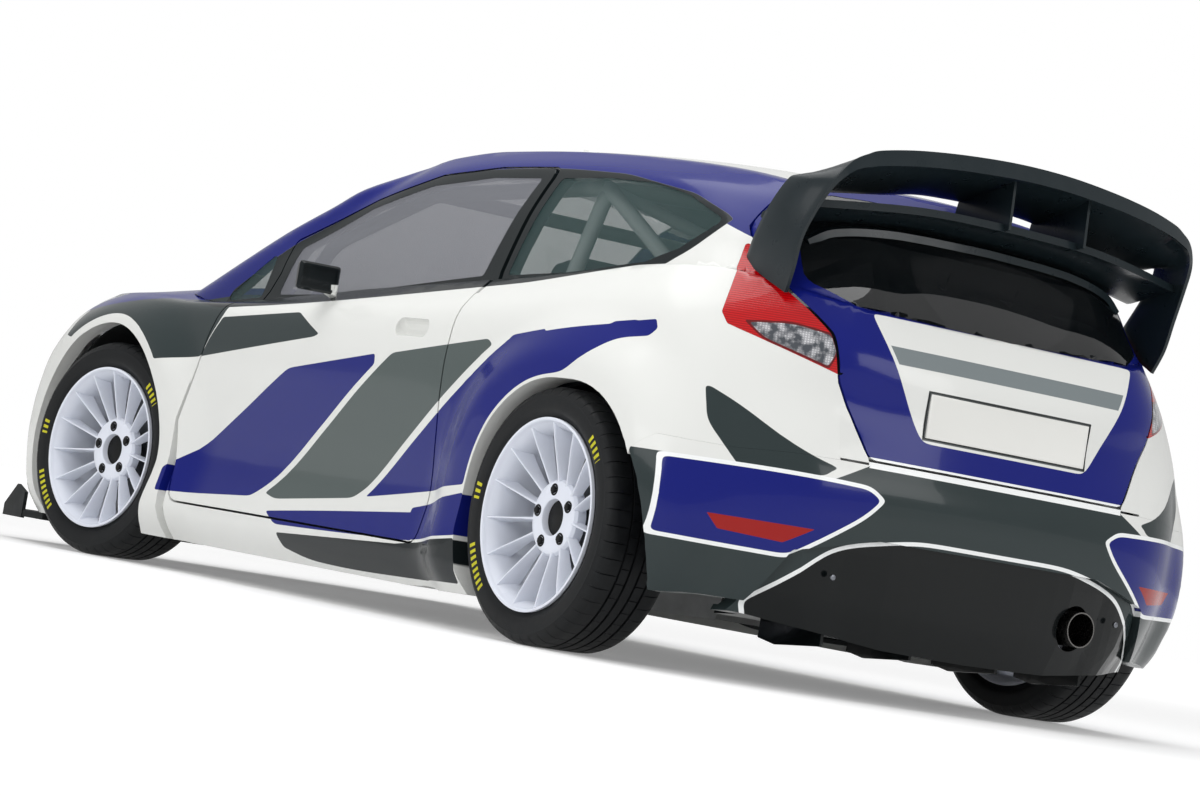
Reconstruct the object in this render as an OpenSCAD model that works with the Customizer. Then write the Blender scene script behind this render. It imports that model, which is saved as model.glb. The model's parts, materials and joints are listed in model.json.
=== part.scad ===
// Rally car: three-door hatchback with blistered wheel arches and a high rear wing.
// X points forward, Y to the car's left, Z up. The origin lies on the ground under the middle of the car.

/* [Car] */
// Distance between the axles
wheelbase = 2480; // [2400:10:2600]
// Front axle to the foremost point
front_overhang = 782; // [770:2:800]
// Rear axle to the rearmost point
rear_overhang = 701; // [690:1:715]
// Width over the wheel arches
body_w = 1820; // [1800:5:1860]
// Height of the roof at its crown
roof_h = 1365; // [1345:5:1400]
// Height of the sill's lower edge above the ground
ground_clearance = 90; // [80:2:110]

/* [Wheels] */
// Outer diameter of the tyres
tyre_d = 650; // [640:1:654]
// Width of the tyres
tyre_w = 226; // [210:1:230]
// Diameter over the rim's lips
rim_d = 490; // [470:2:500]
// Distance between the middles of the two wheels of an axle
track = 1584; // [1570:1:1590]
// Number of spokes
spokes = 15; // [10:1:15]
// Angle to the left at which the front wheels are parked, in degrees
parked_steer = 11; // [0:1:15]

/* [Panels] */
// Wall of the doors and lower body sides
side_wall = 70; // [50:2:90]
// Wall of the roof, pillars, bonnet and tailgate
top_wall = 32; // [24:2:44]
// Thickness of the glass
glass_t = 5; // [4:0.5:6]
// Gap between a panel that opens and its frame
panel_gap = 6; // [5.5:0.5:8]
// Seam between fixed panels
seam = 0.3; // [0.2:0.1:0.5]

/* [Hidden] */
big = 3000;

length = front_overhang + wheelbase + rear_overhang;
front_x = length / 2;
rear_x = -length / 2;
front_axle = front_x - front_overhang;
rear_axle = rear_x + rear_overhang;
wheel_r = tyre_d / 2;
wheel_y = track / 2;

// The body curves are drawn on a reference car, and fit() carries them to the sizes above.
ref_front = 1981.5;
ref_front_axle = 1199.5;
ref_rear_axle = -1280.5;
ref_half_w = 910;
ref_roof = 1365;
ref_clearance = 90;

function fit_x(x) = lookup(x, [
    [-ref_front - 1000, rear_x - 1000], [-ref_front, rear_x], [ref_rear_axle, rear_axle],
    [ref_front_axle, front_axle], [ref_front, front_x], [ref_front + 1000, front_x + 1000]]);
function fit_y(y) = y * body_w / 2 / ref_half_w;
function fit_z(z) = lookup(z, [[0, 0], [ref_clearance, ground_clearance], [ref_roof, roof_h],
    [ref_roof + 1000, roof_h + 1000]]);
function fit(p) = [fit_x(p[0]), fit_y(p[1]), fit_z(p[2])];
function fit_side(p) = [fit_x(p[0]), fit_z(p[1])];
function fit_plan(p) = [fit_x(p[0]), fit_y(p[1])];
function fit_end(p) = [fit_y(p[0]), fit_z(p[1])];

// Lower body, front centre to rear centre, one row of points per height.
lower_rows = [
    [[1940,0,95],[1930,350,95],[1875,600,95],[1765,735,95],[1600,800,95],[1200,805,95],[860,812,92],
     [400,820,90],[0,822,90],[-400,825,90],[-820,830,92],[-1280,830,110],[-1640,770,150],
     [-1800,640,165],[-1895,480,150],[-1926,270,130],[-1932,0,125]],
    [[1958,0,175],[1948,350,175],[1895,620,175],[1780,775,175],[1610,845,180],[1200,855,180],[860,858,180],
     [400,858,180],[0,858,180],[-400,860,180],[-820,868,180],[-1280,868,200],[-1650,808,230],
     [-1795,690,238],[-1905,520,230],[-1944,290,220],[-1952,0,216]],
    [[1962,0,330],[1954,350,330],[1900,635,330],[1780,800,335],[1610,862,340],[1200,860,340],[860,838,330],
     [400,828,325],[0,826,325],[-400,832,325],[-820,848,330],[-1280,866,340],[-1650,848,355],
     [-1802,730,360],[-1918,548,360],[-1960,300,354],[-1968,0,350]],
    [[1960,0,470],[1950,350,470],[1896,638,475],[1776,800,480],[1610,864,485],[1200,862,485],[860,845,480],
     [400,842,475],[0,842,475],[-400,846,475],[-820,856,480],[-1280,864,490],[-1650,854,500],
     [-1804,735,500],[-1925,552,500],[-1971,300,500],[-1981.5,0,500]],
    [[1938,0,580],[1926,350,582],[1870,640,590],[1755,788,598],[1600,862,605],[1200,862,610],[860,856,605],
     [400,858,600],[0,860,600],[-400,862,605],[-820,864,610],[-1280,862,620],[-1650,838,622],
     [-1798,722,612],[-1908,550,597],[-1957,300,588],[-1966,0,585]],
    [[1893,0,655],[1878,350,660],[1815,630,675],[1712,760,690],[1575,838,705],[1200,850,715],[860,855,715],
     [400,858,712],[0,860,712],[-400,862,720],[-820,862,730],[-1280,850,745],[-1635,812,748],
     [-1772,712,728],[-1890,520,706],[-1944,290,692],[-1952,0,690]],
    [[1830,0,700],[1812,350,708],[1745,610,730],[1655,725,750],[1530,795,770],[1200,815,785],[860,828,790],
     [400,832,796],[0,834,806],[-400,838,820],[-820,838,842],[-1280,820,872],[-1590,770,885],
     [-1746,668,870],[-1896,505,838],[-1942,290,822],[-1950,0,818]],
    [[1738,0,752],[1722,340,762],[1662,590,785],[1580,700,800],[1470,752,812],[1180,768,818],[860,752,806],
     [400,744,842],[0,748,876],[-400,752,905],[-820,748,938],[-1280,730,985],[-1540,690,1000],
     [-1692,620,985],[-1862,470,948],[-1893,270,940],[-1902,0,938]]];
// Height of the bonnet and deck on the centre line.
lower_crown = [[-1902,938],[-1560,1000],[-820,938],[400,842],[860,915],[1090,938],[1200,928],[1470,866],
    [1588,822],[1662,790],[1738,752]];

// Cabin above the beltline, windscreen centre to rear glass centre.
upper_rows = [
    [[1250,0,860],[1238,330,850],[1222,565,815],[1200,712,790],[760,735,798],[200,738,812],[-200,744,845],
     [-600,742,880],[-1000,734,915],[-1400,712,945],[-1700,640,930],[-1848,470,915],[-1886,250,905],
     [-1895,0,900]],
    [[1160,0,895],[1145,322,885],[1112,552,862],[1070,706,838],[690,722,842],[190,720,868],[-200,726,900],
     [-600,724,935],[-1000,714,968],[-1390,690,1000],[-1680,622,985],[-1836,450,962],[-1868,238,955],
     [-1878,0,952]],
    [[960,0,1002],[942,310,992],[905,534,968],[838,688,945],[560,698,950],[160,695,970],[-205,698,1000],
     [-600,694,1030],[-995,686,1050],[-1370,664,1060],[-1650,598,1040],[-1790,440,1030],[-1826,230,1024],
     [-1838,0,1022]],
    [[755,0,1112],[738,297,1102],[700,510,1075],[645,660,1042],[410,662,1046],[120,665,1070],[-210,664,1100],
     [-600,660,1122],[-990,652,1130],[-1350,634,1120],[-1624,582,1095],[-1742,426,1095],[-1778,222,1091],
     [-1790,0,1090]],
    [[570,0,1207],[555,285,1197],[520,489,1168],[455,632,1125],[275,630,1138],[70,632,1165],[-215,622,1198],
     [-600,612,1215],[-985,608,1208],[-1330,600,1182],[-1590,558,1150],[-1694,411,1155],[-1728,214,1153],
     [-1740,0,1153]],
    [[448,0,1263],[436,270,1253],[400,466,1224],[338,604,1185],[180,594,1202],[30,590,1232],[-220,582,1260],
     [-600,575,1268],[-980,570,1256],[-1315,560,1232],[-1560,522,1200],[-1640,388,1210],[-1672,202,1212],
     [-1684,0,1212]],
    [[310,0,1303],[300,250,1293],[272,432,1271],[215,536,1243],[115,535,1263],[0,525,1292],[-220,512,1315],
     [-600,505,1318],[-975,500,1304],[-1300,490,1280],[-1535,458,1250],[-1600,342,1262],[-1625,178,1270],
     [-1635,0,1274]]];
upper_crown = [[-1635,1274],[-1535,1290],[-1300,1318],[-975,1348],[-600,1364],[-220,1364],[0,1350],
    [110,1336],[310,1303]];

// A round opening made of flats is cut this much wider where a round wall passes through it.
flat_gap = 1;

// Blistered arches push the lower body outward round each wheel.
arch_z = 312;
front_arch_r = 395;
rear_arch_r = 358;
rear_arch_sweep = 55;
blister = 47;
blister_flat = 440;
blister_end = 610;
function ease(t) = let (k = max(0, min(1, t))) k * k * (3 - 2 * k);
function bump(x, z, axle) = ease((blister_end - norm([x - axle, (z - arch_z) * 1.08]))
    / (blister_end - blister_flat));
function blistered(p) = let (b = max(bump(p[0], p[2], ref_front_axle), bump(p[0], p[2], ref_rear_axle)))
    p[1] < 700 ? p : [p[0], min(p[1] + blister * b * ease((p[1] - 700) / 80), ref_half_w), p[2]];

// One point of the smooth curve through four neighbours, at share t from b to c.
function spline(a, b, c, d, t) = 0.5 * ((2 * b) + (c - a) * t + (2 * a - 5 * b + 4 * c - d) * t * t
    + (3 * b - a - 3 * c + d) * t * t * t);
function pick(v, i) = v[max(0, min(len(v) - 1, i))];
// Before its first point a row goes on as its mirror image across the centre line.
function mirrored(p) = [p[0], -p[1], p[2]];
function before(v) = mirrored(v[1]);
function after(v) = mirrored(v[len(v) - 2]);
function along(v, steps) = [for (i = [0 : len(v) - 2], k = [0 : steps[i] - 1])
    spline(i == 0 ? before(v) : v[i - 1], v[i], v[i + 1], i == len(v) - 2 ? after(v) : v[i + 2],
        k / steps[i]),
    v[len(v) - 1]];
function across(rows, n) = [for (i = [0 : len(rows) - 2], k = [0 : n - 1])
    [for (j = [0 : len(rows[0]) - 1])
        spline(pick(rows, i - 1)[j], rows[i][j], rows[i + 1][j], pick(rows, i + 2)[j], k / n)],
    rows[len(rows) - 1]];
crown_steps = [0.8, 0.5, 0];
function crown_rows(row, crown) = [for (f = crown_steps)
    [for (p = row) [p[0], p[1] * f, p[2] + (lookup(p[0], crown) - p[2]) * (1 - f * f)]]];
function fair(rows, crown, steps, n) =
    let (wide = across([for (r = rows) along(r, steps)], n))
    concat(wide, crown_rows(wide[len(wide) - 1], crown));

// Outward normal of the grid, and the grid moved inward by t.
function unit(v) = norm(v) < 1e-6 ? [0, 0, 1] : v / norm(v);
function grid_normal(g, i, j) =
    let (m = len(g[0]) - 1,
        left = j == 0 ? mirrored(g[i][1]) : g[i][j - 1],
        right = j == m ? mirrored(g[i][m - 1]) : g[i][j + 1],
        down = i == 0 ? g[0][j] : g[i - 1][j],
        up = i == len(g) - 1 ? mirrored(g[i - 1][j]) : g[i + 1][j])
    unit(cross(right - left, up - down));
function inset(g, t) = t == 0 ? g : [for (i = [0 : len(g) - 1]) [for (j = [0 : len(g[0]) - 1])
    let (p = g[i][j] - t * grid_normal(g, i, j), last = i == len(g) - 1)
    [p[0], last || j == 0 || j == len(g[0]) - 1 ? 0 : max(p[1], 0.01), p[2]]]];

// Closed solid of a grid: both sides, and a floor under the first row.
module grid_solid(g) {
    rows = len(g);
    cols = len(g[0]);
    edge = rows - 1 - len(crown_steps);
    pts = concat([for (r = g, p = r) fit(p)], [for (r = g, p = r) fit(mirrored(p))]);
    function at(side, i, j) =
        let (on_end = j == 0 || j == cols - 1)
        (i == rows - 1 || on_end ? 0 : side) * rows * cols + (on_end ? min(i, edge) : i) * cols + j;
    function tri(a, b, c) = a == b || b == c || a == c ? [] : [[a, b, c]];
    function quad(a, b, c, d) = concat(tri(a, b, c), tri(a, c, d));
    faces = concat(
        [for (i = [0 : rows - 2], j = [0 : cols - 2])
            each quad(at(0, i, j), at(0, i + 1, j), at(0, i + 1, j + 1), at(0, i, j + 1))],
        [for (i = [0 : rows - 2], j = [0 : cols - 2])
            each quad(at(1, i, j), at(1, i, j + 1), at(1, i + 1, j + 1), at(1, i + 1, j))],
        [for (j = [0 : cols - 2])
            each quad(at(0, 0, j), at(0, 0, j + 1), at(1, 0, j + 1), at(1, 0, j))]);
    polyhedron(pts, faces, convexity = 6);
}

lower_steps = [1, 2, 2, 2, 3, 3, 2, 1, 1, 2, 3, 3, 2, 2, 2, 1];
upper_steps = [1, 1, 1, 2, 2, 1, 1, 1, 1, 2, 2, 1, 1];
lower_grid = [for (row = fair(lower_rows, lower_crown, lower_steps, 2)) [for (p = row) blistered(p)]];
upper_grid = fair(upper_rows, upper_crown, upper_steps, 2);
// Inner surfaces need fewer faces than the skin.
inner_lower_grid = [for (row = fair(lower_rows, lower_crown, [for (k = lower_steps) 1], 1))
    [for (p = row) blistered(p)]];
inner_upper_grid = fair(upper_rows, upper_crown, [for (k = upper_steps) 1], 1);
module lower_body(t = 0) grid_solid(inset(t > 1 ? inner_lower_grid : lower_grid, t));
module upper_body(t = 0, fine = false) grid_solid(inset(t > 1 && !fine ? inner_upper_grid : upper_grid, t));
module whole_body() {
    lower_body();
    upper_body();
}
wing_wall = 34;

// An outline grown outward by r with round corners, and prisms of it along each axis.
module outline(points, r) {
    polygon(points);
    for (i = [0 : len(points) - 1]) hull() for (p = [points[i], points[(i + 1) % len(points)]])
        translate(p) circle(r, $fn = 12);
}
module along_y(y0, y1) translate([0, y1, 0]) rotate([90, 0, 0]) linear_extrude(y1 - y0) children();
module along_x(x0, x1) translate([x0, 0, 0]) rotate([90, 0, 90]) linear_extrude(x1 - x0) children();
module along_z(z0, z1) translate([0, 0, z0]) linear_extrude(z1 - z0) children();
module block(x, y, z) translate([x[0], y[0], z[0]]) cube([x[1] - x[0], y[1] - y[0], z[1] - z[0]]);
module both() {
    children();
    mirror([0, 1, 0]) children();
}
module on_side(s) mirror([0, s > 0 ? 0 : 1, 0]) children();

// Outlines of the openings and panels, drawn inside their edges by the corner radius.
door_r = 30;
door_pts = [for (p = [[672,235],[702,440],[660,610],[588,800],[560,838],[530,905],[525,990],[190,1122],
    [-80,1196],[-360,1222],[-610,1226],[-614,950],[-642,850],[-642,235]]) fit_side(p)];
glass_r = 12;
door_glass_pts = [for (p = [[515,860],[490,985],[200,1112],[-70,1184],[-355,1212],[-585,1214],
    [-556,948],[164,874]]) fit_side(p)];
quarter_light_pts = [for (p = [[805,832],[640,846],[634,952]]) fit_side(p)];
quarter_glass_pts = [for (p = [[-700,955],[-705,1214],[-900,1219],[-1100,1209],[-1290,1176],[-1445,1122],
    [-1372,1052],[-1276,1010],[-980,972]]) fit_side(p)];
screen_r = 25;
screen_pts = [for (p = [[575,800],[500,1060],[415,1255],[0,1278],[-415,1255],[-500,1060],[-575,800]])
    fit_end(p)];
rear_glass_pts = [for (p = [[440,975],[520,1010],[505,1100],[465,1190],[400,1205],[0,1214],[-400,1205],
    [-465,1190],[-505,1100],[-520,1010],[-440,975],[0,962]]) fit_end(p)];
tailgate_r = 25;
tailgate_pts = [for (p = [[395,610],[480,770],[500,880],[565,975],[570,1090],[545,1170],[480,1232],
    [0,1262],[-480,1232],[-545,1170],[-570,1090],[-565,975],[-500,880],[-480,770],[-395,610]]) fit_end(p)];
tailgate_front = -1560;
bonnet_r = 30;
bonnet_pts = [for (p = [[1000,600],[1400,640],[1560,600],[1660,540],[1725,400],[1755,200],[1762,0],
    [1755,-200],[1725,-400],[1660,-540],[1560,-600],[1400,-640],[1000,-600]]) fit_plan(p)];
bonnet_floor = 640;
bonnet_rear = fit_x(1150);
wing_pts = [for (p = [[742,60],[742,440],[700,615],[629,805],[640,840],[1100,1000],[1700,1000],[1700,620],
    [1560,560],[1560,400],[1500,300],[1500,60]]) fit_side(p)];
nose_pts = [for (p = [[1500,60],[1500,300],[1560,400],[1560,560],[1700,620],[1700,1000],[2100,1000],[2100,60]]) fit_side(p)];
rear_bumper_pts = [for (p = [[-1640,520],[-1690,560],[-1820,560],[-1900,570],[-2100,575],[-2100,215],
    [-1600,190]]) fit_side(p)];
roof_pts = [for (p = [[450,430],[150,455],[-300,470],[-900,465],[-1300,450],[-1700,420],[-1700,-420],
    [-1300,-450],[-900,-465],[-300,-470],[150,-455],[450,-430]]) fit_plan(p)];
lamp_r = 8;
lamp_angle = 33.7;

// Body openings shared by the frame and the panels that fill them.
module door_prism(grow) along_y(250, big) outline(door_pts, door_r + grow);
module door_glass_prism(grow) along_y(250, big) outline(door_glass_pts, glass_r + grow);
module side_glass_prism(grow) along_y(250, big) {
    outline(quarter_glass_pts, glass_r + grow);
    outline(quarter_light_pts, glass_r + grow);
}
module screen_prism(grow) along_x(fit_x(100), big) outline(screen_pts, screen_r + grow);
module rear_glass_prism(grow) along_x(-big, fit_x(-1500)) outline(rear_glass_pts, screen_r + grow);
module tailgate_prism(grow) along_x(-big, fit_x(tailgate_front) + grow)
    outline(tailgate_pts, tailgate_r + grow);
module bonnet_prism(grow) along_z(fit_z(bonnet_floor) - grow, big) outline(bonnet_pts, bonnet_r + grow);
// The bonnet's nose swings forward a little as it rises.
module bonnet_hole() for (x = [0, 5]) translate([x, 0, 0]) bonnet_prism(panel_gap);
module arch_prisms(grow = 0) {
    along_y(-big, big) translate([front_axle, arch_z]) circle(front_arch_r + grow, $fn = 48);
    along_y(-big, big) hull() for (x = [0, -rear_arch_sweep])
        translate([rear_axle + x, arch_z]) circle(rear_arch_r + grow, $fn = 48);
}
module front_region(grow) along_y(-big, big) union() {
    outline(wing_pts, grow + 0.01);
    outline(nose_pts, grow + 0.01);
}
module nose_region(grow) along_y(-big, big) outline(nose_pts, grow + 0.01);
module rear_bumper_region(grow) along_y(-big, big) outline(rear_bumper_pts, grow + 0.01);
module roof_region(grow) along_z(fit_z(1150), big) outline(roof_pts, grow + 0.01);
// Tail lamp outline, seen square to the corner that it wraps.
tail_lamp_pts = [for (p = [[-372,1060],[-336,885],[-350,862],[-630,782],[-602,872],[-500,968]])
    [p[0] + (rear_x + ref_front) * sin(lamp_angle), fit_z(p[1])]];
module tail_lamp_prism(grow) rotate([0, 0, -lamp_angle]) along_x(-big, -1450)
    outline(tail_lamp_pts, lamp_r + grow);
// Headlamp outline, seen square to the front corner.
head_lamp_pts = [for (p = [[-632,668],[-600,712],[-430,752],[-210,800],[-130,806],[-185,765],[-340,700],
    [-520,655]]) [p[0] - (front_x - ref_front) * sin(lamp_angle), fit_z(p[1])]];
module head_lamp_prism(grow) rotate([0, 0, lamp_angle]) along_x(1250, big)
    outline(head_lamp_pts, lamp_r + grow);

// Walls: the body's skin of a given thickness, and the hollow under the cabin.
module cavity() {
    lower_body(side_wall);
    upper_body(top_wall);
    block([fit_x(-1600), fit_x(1080)], [-600, 600], [600, 1000]);
}
module cabin_wall() difference() {
    whole_body();
    cavity();
}
module thin_wall(t) difference() {
    lower_body();
    lower_body(t);
}

floor_z = fit_z(130);
floor_t = 20;
post_x = [fit_x(712), fit_x(772)];
post_y = 600;
bulkhead_x = post_x[1] + 1;
bulkhead_t = 20;

boot_z = fit_z(420);
kick_x = fit_x(-1000);
module tunnel_void() hull() {
    block([-big, big], [-112, 112], [0, floor_z]);
    block([-big, big], [-76, 76], [fit_z(312), fit_z(315)]);
}
module floor_pan() color("gray") difference() {
    intersection() {
        lower_body(side_wall + seam);
        union() {
            block([kick_x, bulkhead_x - seam], [-big, big], [floor_z, floor_z + floor_t]);
            block([kick_x - floor_t, kick_x], [-big, big], [floor_z, boot_z]);
            block([fit_x(-1860), kick_x - floor_t], [-big, big], [boot_z - floor_t, boot_z]);
            for (y = [-470, 450]) block([fit_x(-1860), kick_x - floor_t], [y, y + 20],
                [boot_z - 70, boot_z - floor_t]);
            hull() {
                block([kick_x + 10, bulkhead_x - seam], [-130, 130], [floor_z, floor_z + floor_t]);
                block([kick_x + 10, bulkhead_x - seam], [-94, 94], [fit_z(330), fit_z(335)]);
            }
        }
    }
    tunnel_void();
    both() block([post_x[0] - seam, post_x[1] + seam], [post_y - seam, big], [0, big]);
    both() along_y(liner_y[0] - liner_t - seam, big) hull() for (x = [0, -rear_arch_sweep])
        translate([rear_axle + x, arch_z]) circle(rear_arch_r + liner_t + seam + flat_gap, $fn = 48);
    // Drain slots.
    for (x = [-700, -100, 500], s = [-1, 1]) hull() for (k = [-30, 30])
        translate([x + k, s * 520, floor_z - 1]) cylinder(r = 12, h = floor_t + 2, $fn = 8);
}

// Bulkhead behind the engine, with the front rails, strut towers and the scuttle under the windscreen.
tower_z = 737;
module bulkhead() color("gray") difference() {
    intersection() {
        lower_body(side_wall + seam);
        union() {
            block([bulkhead_x, bulkhead_x + bulkhead_t], [-big, big], [floor_z, 830]);
            block([bulkhead_x + bulkhead_t, bonnet_rear - 40], [-600, 600], [800, 820]);
            both() block([bulkhead_x + bulkhead_t, fit_x(1750)], [460, 480], [430, 520]);
            block([fit_x(1730), fit_x(1750)], [-480, 480], [430, 520]);
            both() block([fit_x(1110), fit_x(1290)], [460, 480], [520, 760]);
            both() block([fit_x(1110), fit_x(1290)], [480, 690], [tower_z, tower_z + 18]);
        }
    }
    both() along_y(post_y - seam, big) square([post_x[1] + seam, big]);
    tunnel_void();
    for (y = [-300, 0, 300]) hull() for (k = [-40, 40]) translate([0, y + k, 700])
        rotate([0, 90, 0]) cylinder(r = 12, h = fit_x(800) + bulkhead_t, $fn = 8);
    for (x = [930, 1030], y = [-200, 200]) hull() for (k = [-40, 40])
        translate([fit_x(x) + k, y, 700]) cylinder(r = 30, h = 200, $fn = 8);
}

vent_x = -150;
module roof() color("white") {
    difference() {
        intersection() {
            cabin_wall();
            roof_region(0);
        }
        screen_prism(seam);
        tailgate_prism(panel_gap);
    }
    // Roof scoop with its open mouth.
    difference() {
        intersection() {
            hull() {
                block([fit_x(vent_x - 220), fit_x(vent_x - 200)], [-90, 90], [fit_z(1320), fit_z(1366)]);
                block([fit_x(vent_x), fit_x(vent_x + 40)], [-170, 170], [fit_z(1320), fit_z(1362)]);
                block([fit_x(vent_x + 30), fit_x(vent_x + 60)], [-160, 160], [fit_z(1320), fit_z(1385)]);
            }
            difference() {
                block([-big, big], [-big, big], [1200, 1500]);
                upper_body(2);
            }
        }
        hull() {
            block([fit_x(vent_x + 20), fit_x(vent_x + 80)], [-150, 150], [fit_z(1362), fit_z(1380)]);
            block([fit_x(vent_x - 80), fit_x(vent_x - 60)], [-130, 130], [fit_z(1360), fit_z(1368)]);
        }
    }
}

side_floor_y = 700;
module side_frame(s) color("white") difference() {
    union() {
        difference() {
            intersection() {
                cabin_wall();
                on_side(s) block([-big, big], [0, big], [0, big]);
            }
            intersection() {
                front_region(seam);
                lower_body(-1);
            }
            difference() {
                block([post_x[0], big], [-big, big], [0, big]);
                upper_body(-1);
            }
        }
        // Front door post.
        intersection() {
            lower_body(wing_wall + seam);
            on_side(s) block(post_x, [post_y, big], [floor_z - 30, fit_z(900)]);
        }
    }
    on_side(s) {
        door_prism(panel_gap);
        intersection() {
            translate([-12, 0, 0]) door_prism(panel_gap);
            block([-big, fit_x(-400)], [0, fit_y(800)], [0, big]);
        }
        side_glass_prism(seam);
        tail_lamp_prism(seam);
    }
    screen_prism(seam);
    tailgate_prism(panel_gap);
    arch_prisms();
    roof_region(seam);
    rear_bumper_region(seam);
    block([-big, fit_x(-1700)], [-490, 490], [0, fit_z(700)]);
    block([-big, fit_x(-1600)], [-big, big], [0, fit_z(215)]);
    block([fit_x(-1690), post_x[0]], [-side_floor_y, side_floor_y], [0, fit_z(500)]);
}

// Panel under the tailgate opening, behind the bumper.
module rear_panel() color("white") difference() {
    block([fit_x(-1890), fit_x(-1861)], [-480, 480], [fit_z(377.2), fit_z(596)]);
    for (y = [-380, -127, 127, 380], z = [425, 530]) translate([0, y, z]) rotate([0, -90, 0])
        linear_extrude(big) union() {
            for (k = [-60, 60]) translate([0, k]) circle(25);
            translate([-25, -60]) square([50, 120]);
        }
}

module front_wing(s) color("white") difference() {
    intersection() {
        thin_wall(wing_wall);
        on_side(s) along_y(540, big) outline(wing_pts, 0.01);
    }
    block([0, fit_x(1190)], [-post_y, post_y], [0, big]);
    upper_body(-seam);
    bonnet_hole();
    nose_region(seam);
    arch_prisms();
    on_side(s) head_lamp_prism(seam);
    on_side(s) block([post_x[0] - 1, post_x[1] + 1], [0, post_y], [0, big]);
}

module front_bumper() color("white") difference() {
    intersection() {
        thin_wall(wing_wall);
        nose_region(0);
    }
    bonnet_hole();
    arch_prisms();
    both() head_lamp_prism(seam);
    // Lower and upper intakes and the side ducts.
    along_x(fit_x(1500), big) for (o = intake_outlines) polygon(grown(o, 20));
    block([fit_x(1500), fit_x(1900)], [-600, 600], [0, 140]);
}
intake_outlines = [
    [for (p = [[-420,230],[-500,430],[-440,470],[440,470],[500,430],[420,230]]) fit_end(p)],
    [for (p = [[-330,570],[-360,590],[-350,610],[350,610],[360,590],[330,570]]) fit_end(p)]];

// Outline of a convex polygon grown by r, with its corners rounded.
function grown(p, r) = let (n = len(p)) [for (i = [0 : n - 1]) let (a = p[i] - p[(i + n - 1) % n],
    b = p[(i + 1) % n] - p[i], s = area_sign(p), t = s * atan2(a[0] * b[1] - a[1] * b[0], a * b))
    for (k = [0 : 3]) p[i] + r * s * turned([a[1], -a[0]] / norm(a), s * t * k / 3)];
function turned(v, w) = [v[0] * cos(w) - v[1] * sin(w), v[0] * sin(w) + v[1] * cos(w)];
function area_sign(p) = let (a = p[1] - p[0], b = p[2] - p[1]) sign(a[0] * b[1] - a[1] * b[0]);

// Slats and uprights that fill both intakes, on a strip that follows the nose.
slat_t = 8;
slat_pitch = 40;
module nose_strip(x, d) {
    front = [for (y = [-560 : 80 : 560]) [x - 28 * pow(y / 500, 2), y]];
    polygon(concat(front, [for (i = [len(front) - 1 : -1 : 0]) front[i] - [d, 0]]));
}
module grille() color("dimgray") for (i = [0, 1]) {
    o = intake_outlines[i];
    low = o[0][1];
    high = o[2][1];
    intersection() {
        along_z(low - 30, high + 30) nose_strip(fit_x(i == 0 ? 1950 : 1908), 18);
        along_x(fit_x(1500), big) union() {
            difference() {
                polygon(grown(o, 20 - seam));
                polygon(grown(o, 10));
            }
            intersection() {
                polygon(grown(o, 19));
                union() {
                    for (z = [low + 12 : slat_pitch : high]) translate([-600, z]) square([1200, slat_t]);
                    for (y = [-400 : 200 : 400]) translate([y - slat_t / 2, low - 20])
                        square([slat_t, high - low + 40]);
                }
            }
        }
    }
}

splitter_t = 22;
module splitter() color("dimgray") {
    difference() {
        along_z(fit_z(95) - splitter_t - seam, fit_z(95) - seam) difference() {
            polygon(grown([for (p = [[1560,-800],[1560,800],[1700,835],[1820,820],[1868,690],[1930,500],
                [1955,250],[1960,0],[1955,-250],[1930,-500],[1868,-690],[1820,-820],[1700,-835]])
                fit_plan(p)], 20));
            for (s = [-1, 1]) translate([front_axle, s * wheel_y]) circle(front_arch_r + 10, $fn = 64);
        }
        for (s = [-1, 1]) translate([fit_x(1650), s * 300, 0]) cylinder(r = 6, h = big);
    }
    // Upright ends.
    both() along_y(fit_y(846), fit_y(858)) polygon([for (p = [[1700,68],[1700,150],[1760,172],
        [1835,105],[1835,68]]) fit_side(p)]);
}

module lamps() {
    color("silver") both() difference() {
        intersection() {
            thin_wall(26);
            head_lamp_prism(0);
        }
        bonnet_hole();
    }
    color("red") both() difference() {
        intersection() {
            difference() {
                whole_body();
                upper_body(26);
                lower_body(26);
            }
            tail_lamp_prism(0);
        }
        tailgate_prism(panel_gap);
    }
}

exhaust_y = -330;
exhaust_z = 262;
exhaust_r = 45;
diffuser_pts = [for (p = [[-640,150],[-560,330],[-360,382],[360,382],[560,330],[640,150],[600,60],
    [-600,60]]) fit_end(p)];
module rear_bumper() color("white") difference() {
    intersection() {
        thin_wall(wing_wall);
        rear_bumper_region(0);
    }
    along_x(-big, fit_x(-1700)) outline(diffuser_pts, 12);
    tailgate_prism(panel_gap);
    arch_prisms(liner_t + seam + flat_gap);
    block([-big, big], [-600, 600], [0, fit_z(150)]);
}

module diffuser() color("dimgray") {
    difference() {
        intersection() {
            difference() {
                lower_body(16);
                lower_body(16 + wing_wall);
            }
            union() {
                intersection() {
                    along_x(-big, fit_x(-1720)) outline(diffuser_pts, 12 - seam);
                    block([-big, big], [-big, big], [0, big]);
                }
                block([-big, fit_x(-1620)], [-560, 560], [0, fit_z(205)]);
            }
        }
        translate([0, exhaust_y, exhaust_z]) rotate([0, -90, 0]) cylinder(r = exhaust_r + 14, h = big);
    }
    // Strakes under the rear.
    for (y = [-420, -140, 140, 420]) along_y(y - 4, y + 4) polygon([for (p = [[-1880,170],[-1700,160],
        [-1630,160],[-1630,115],[-1700,105],[-1880,120]]) fit_side(p)]);
}

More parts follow.
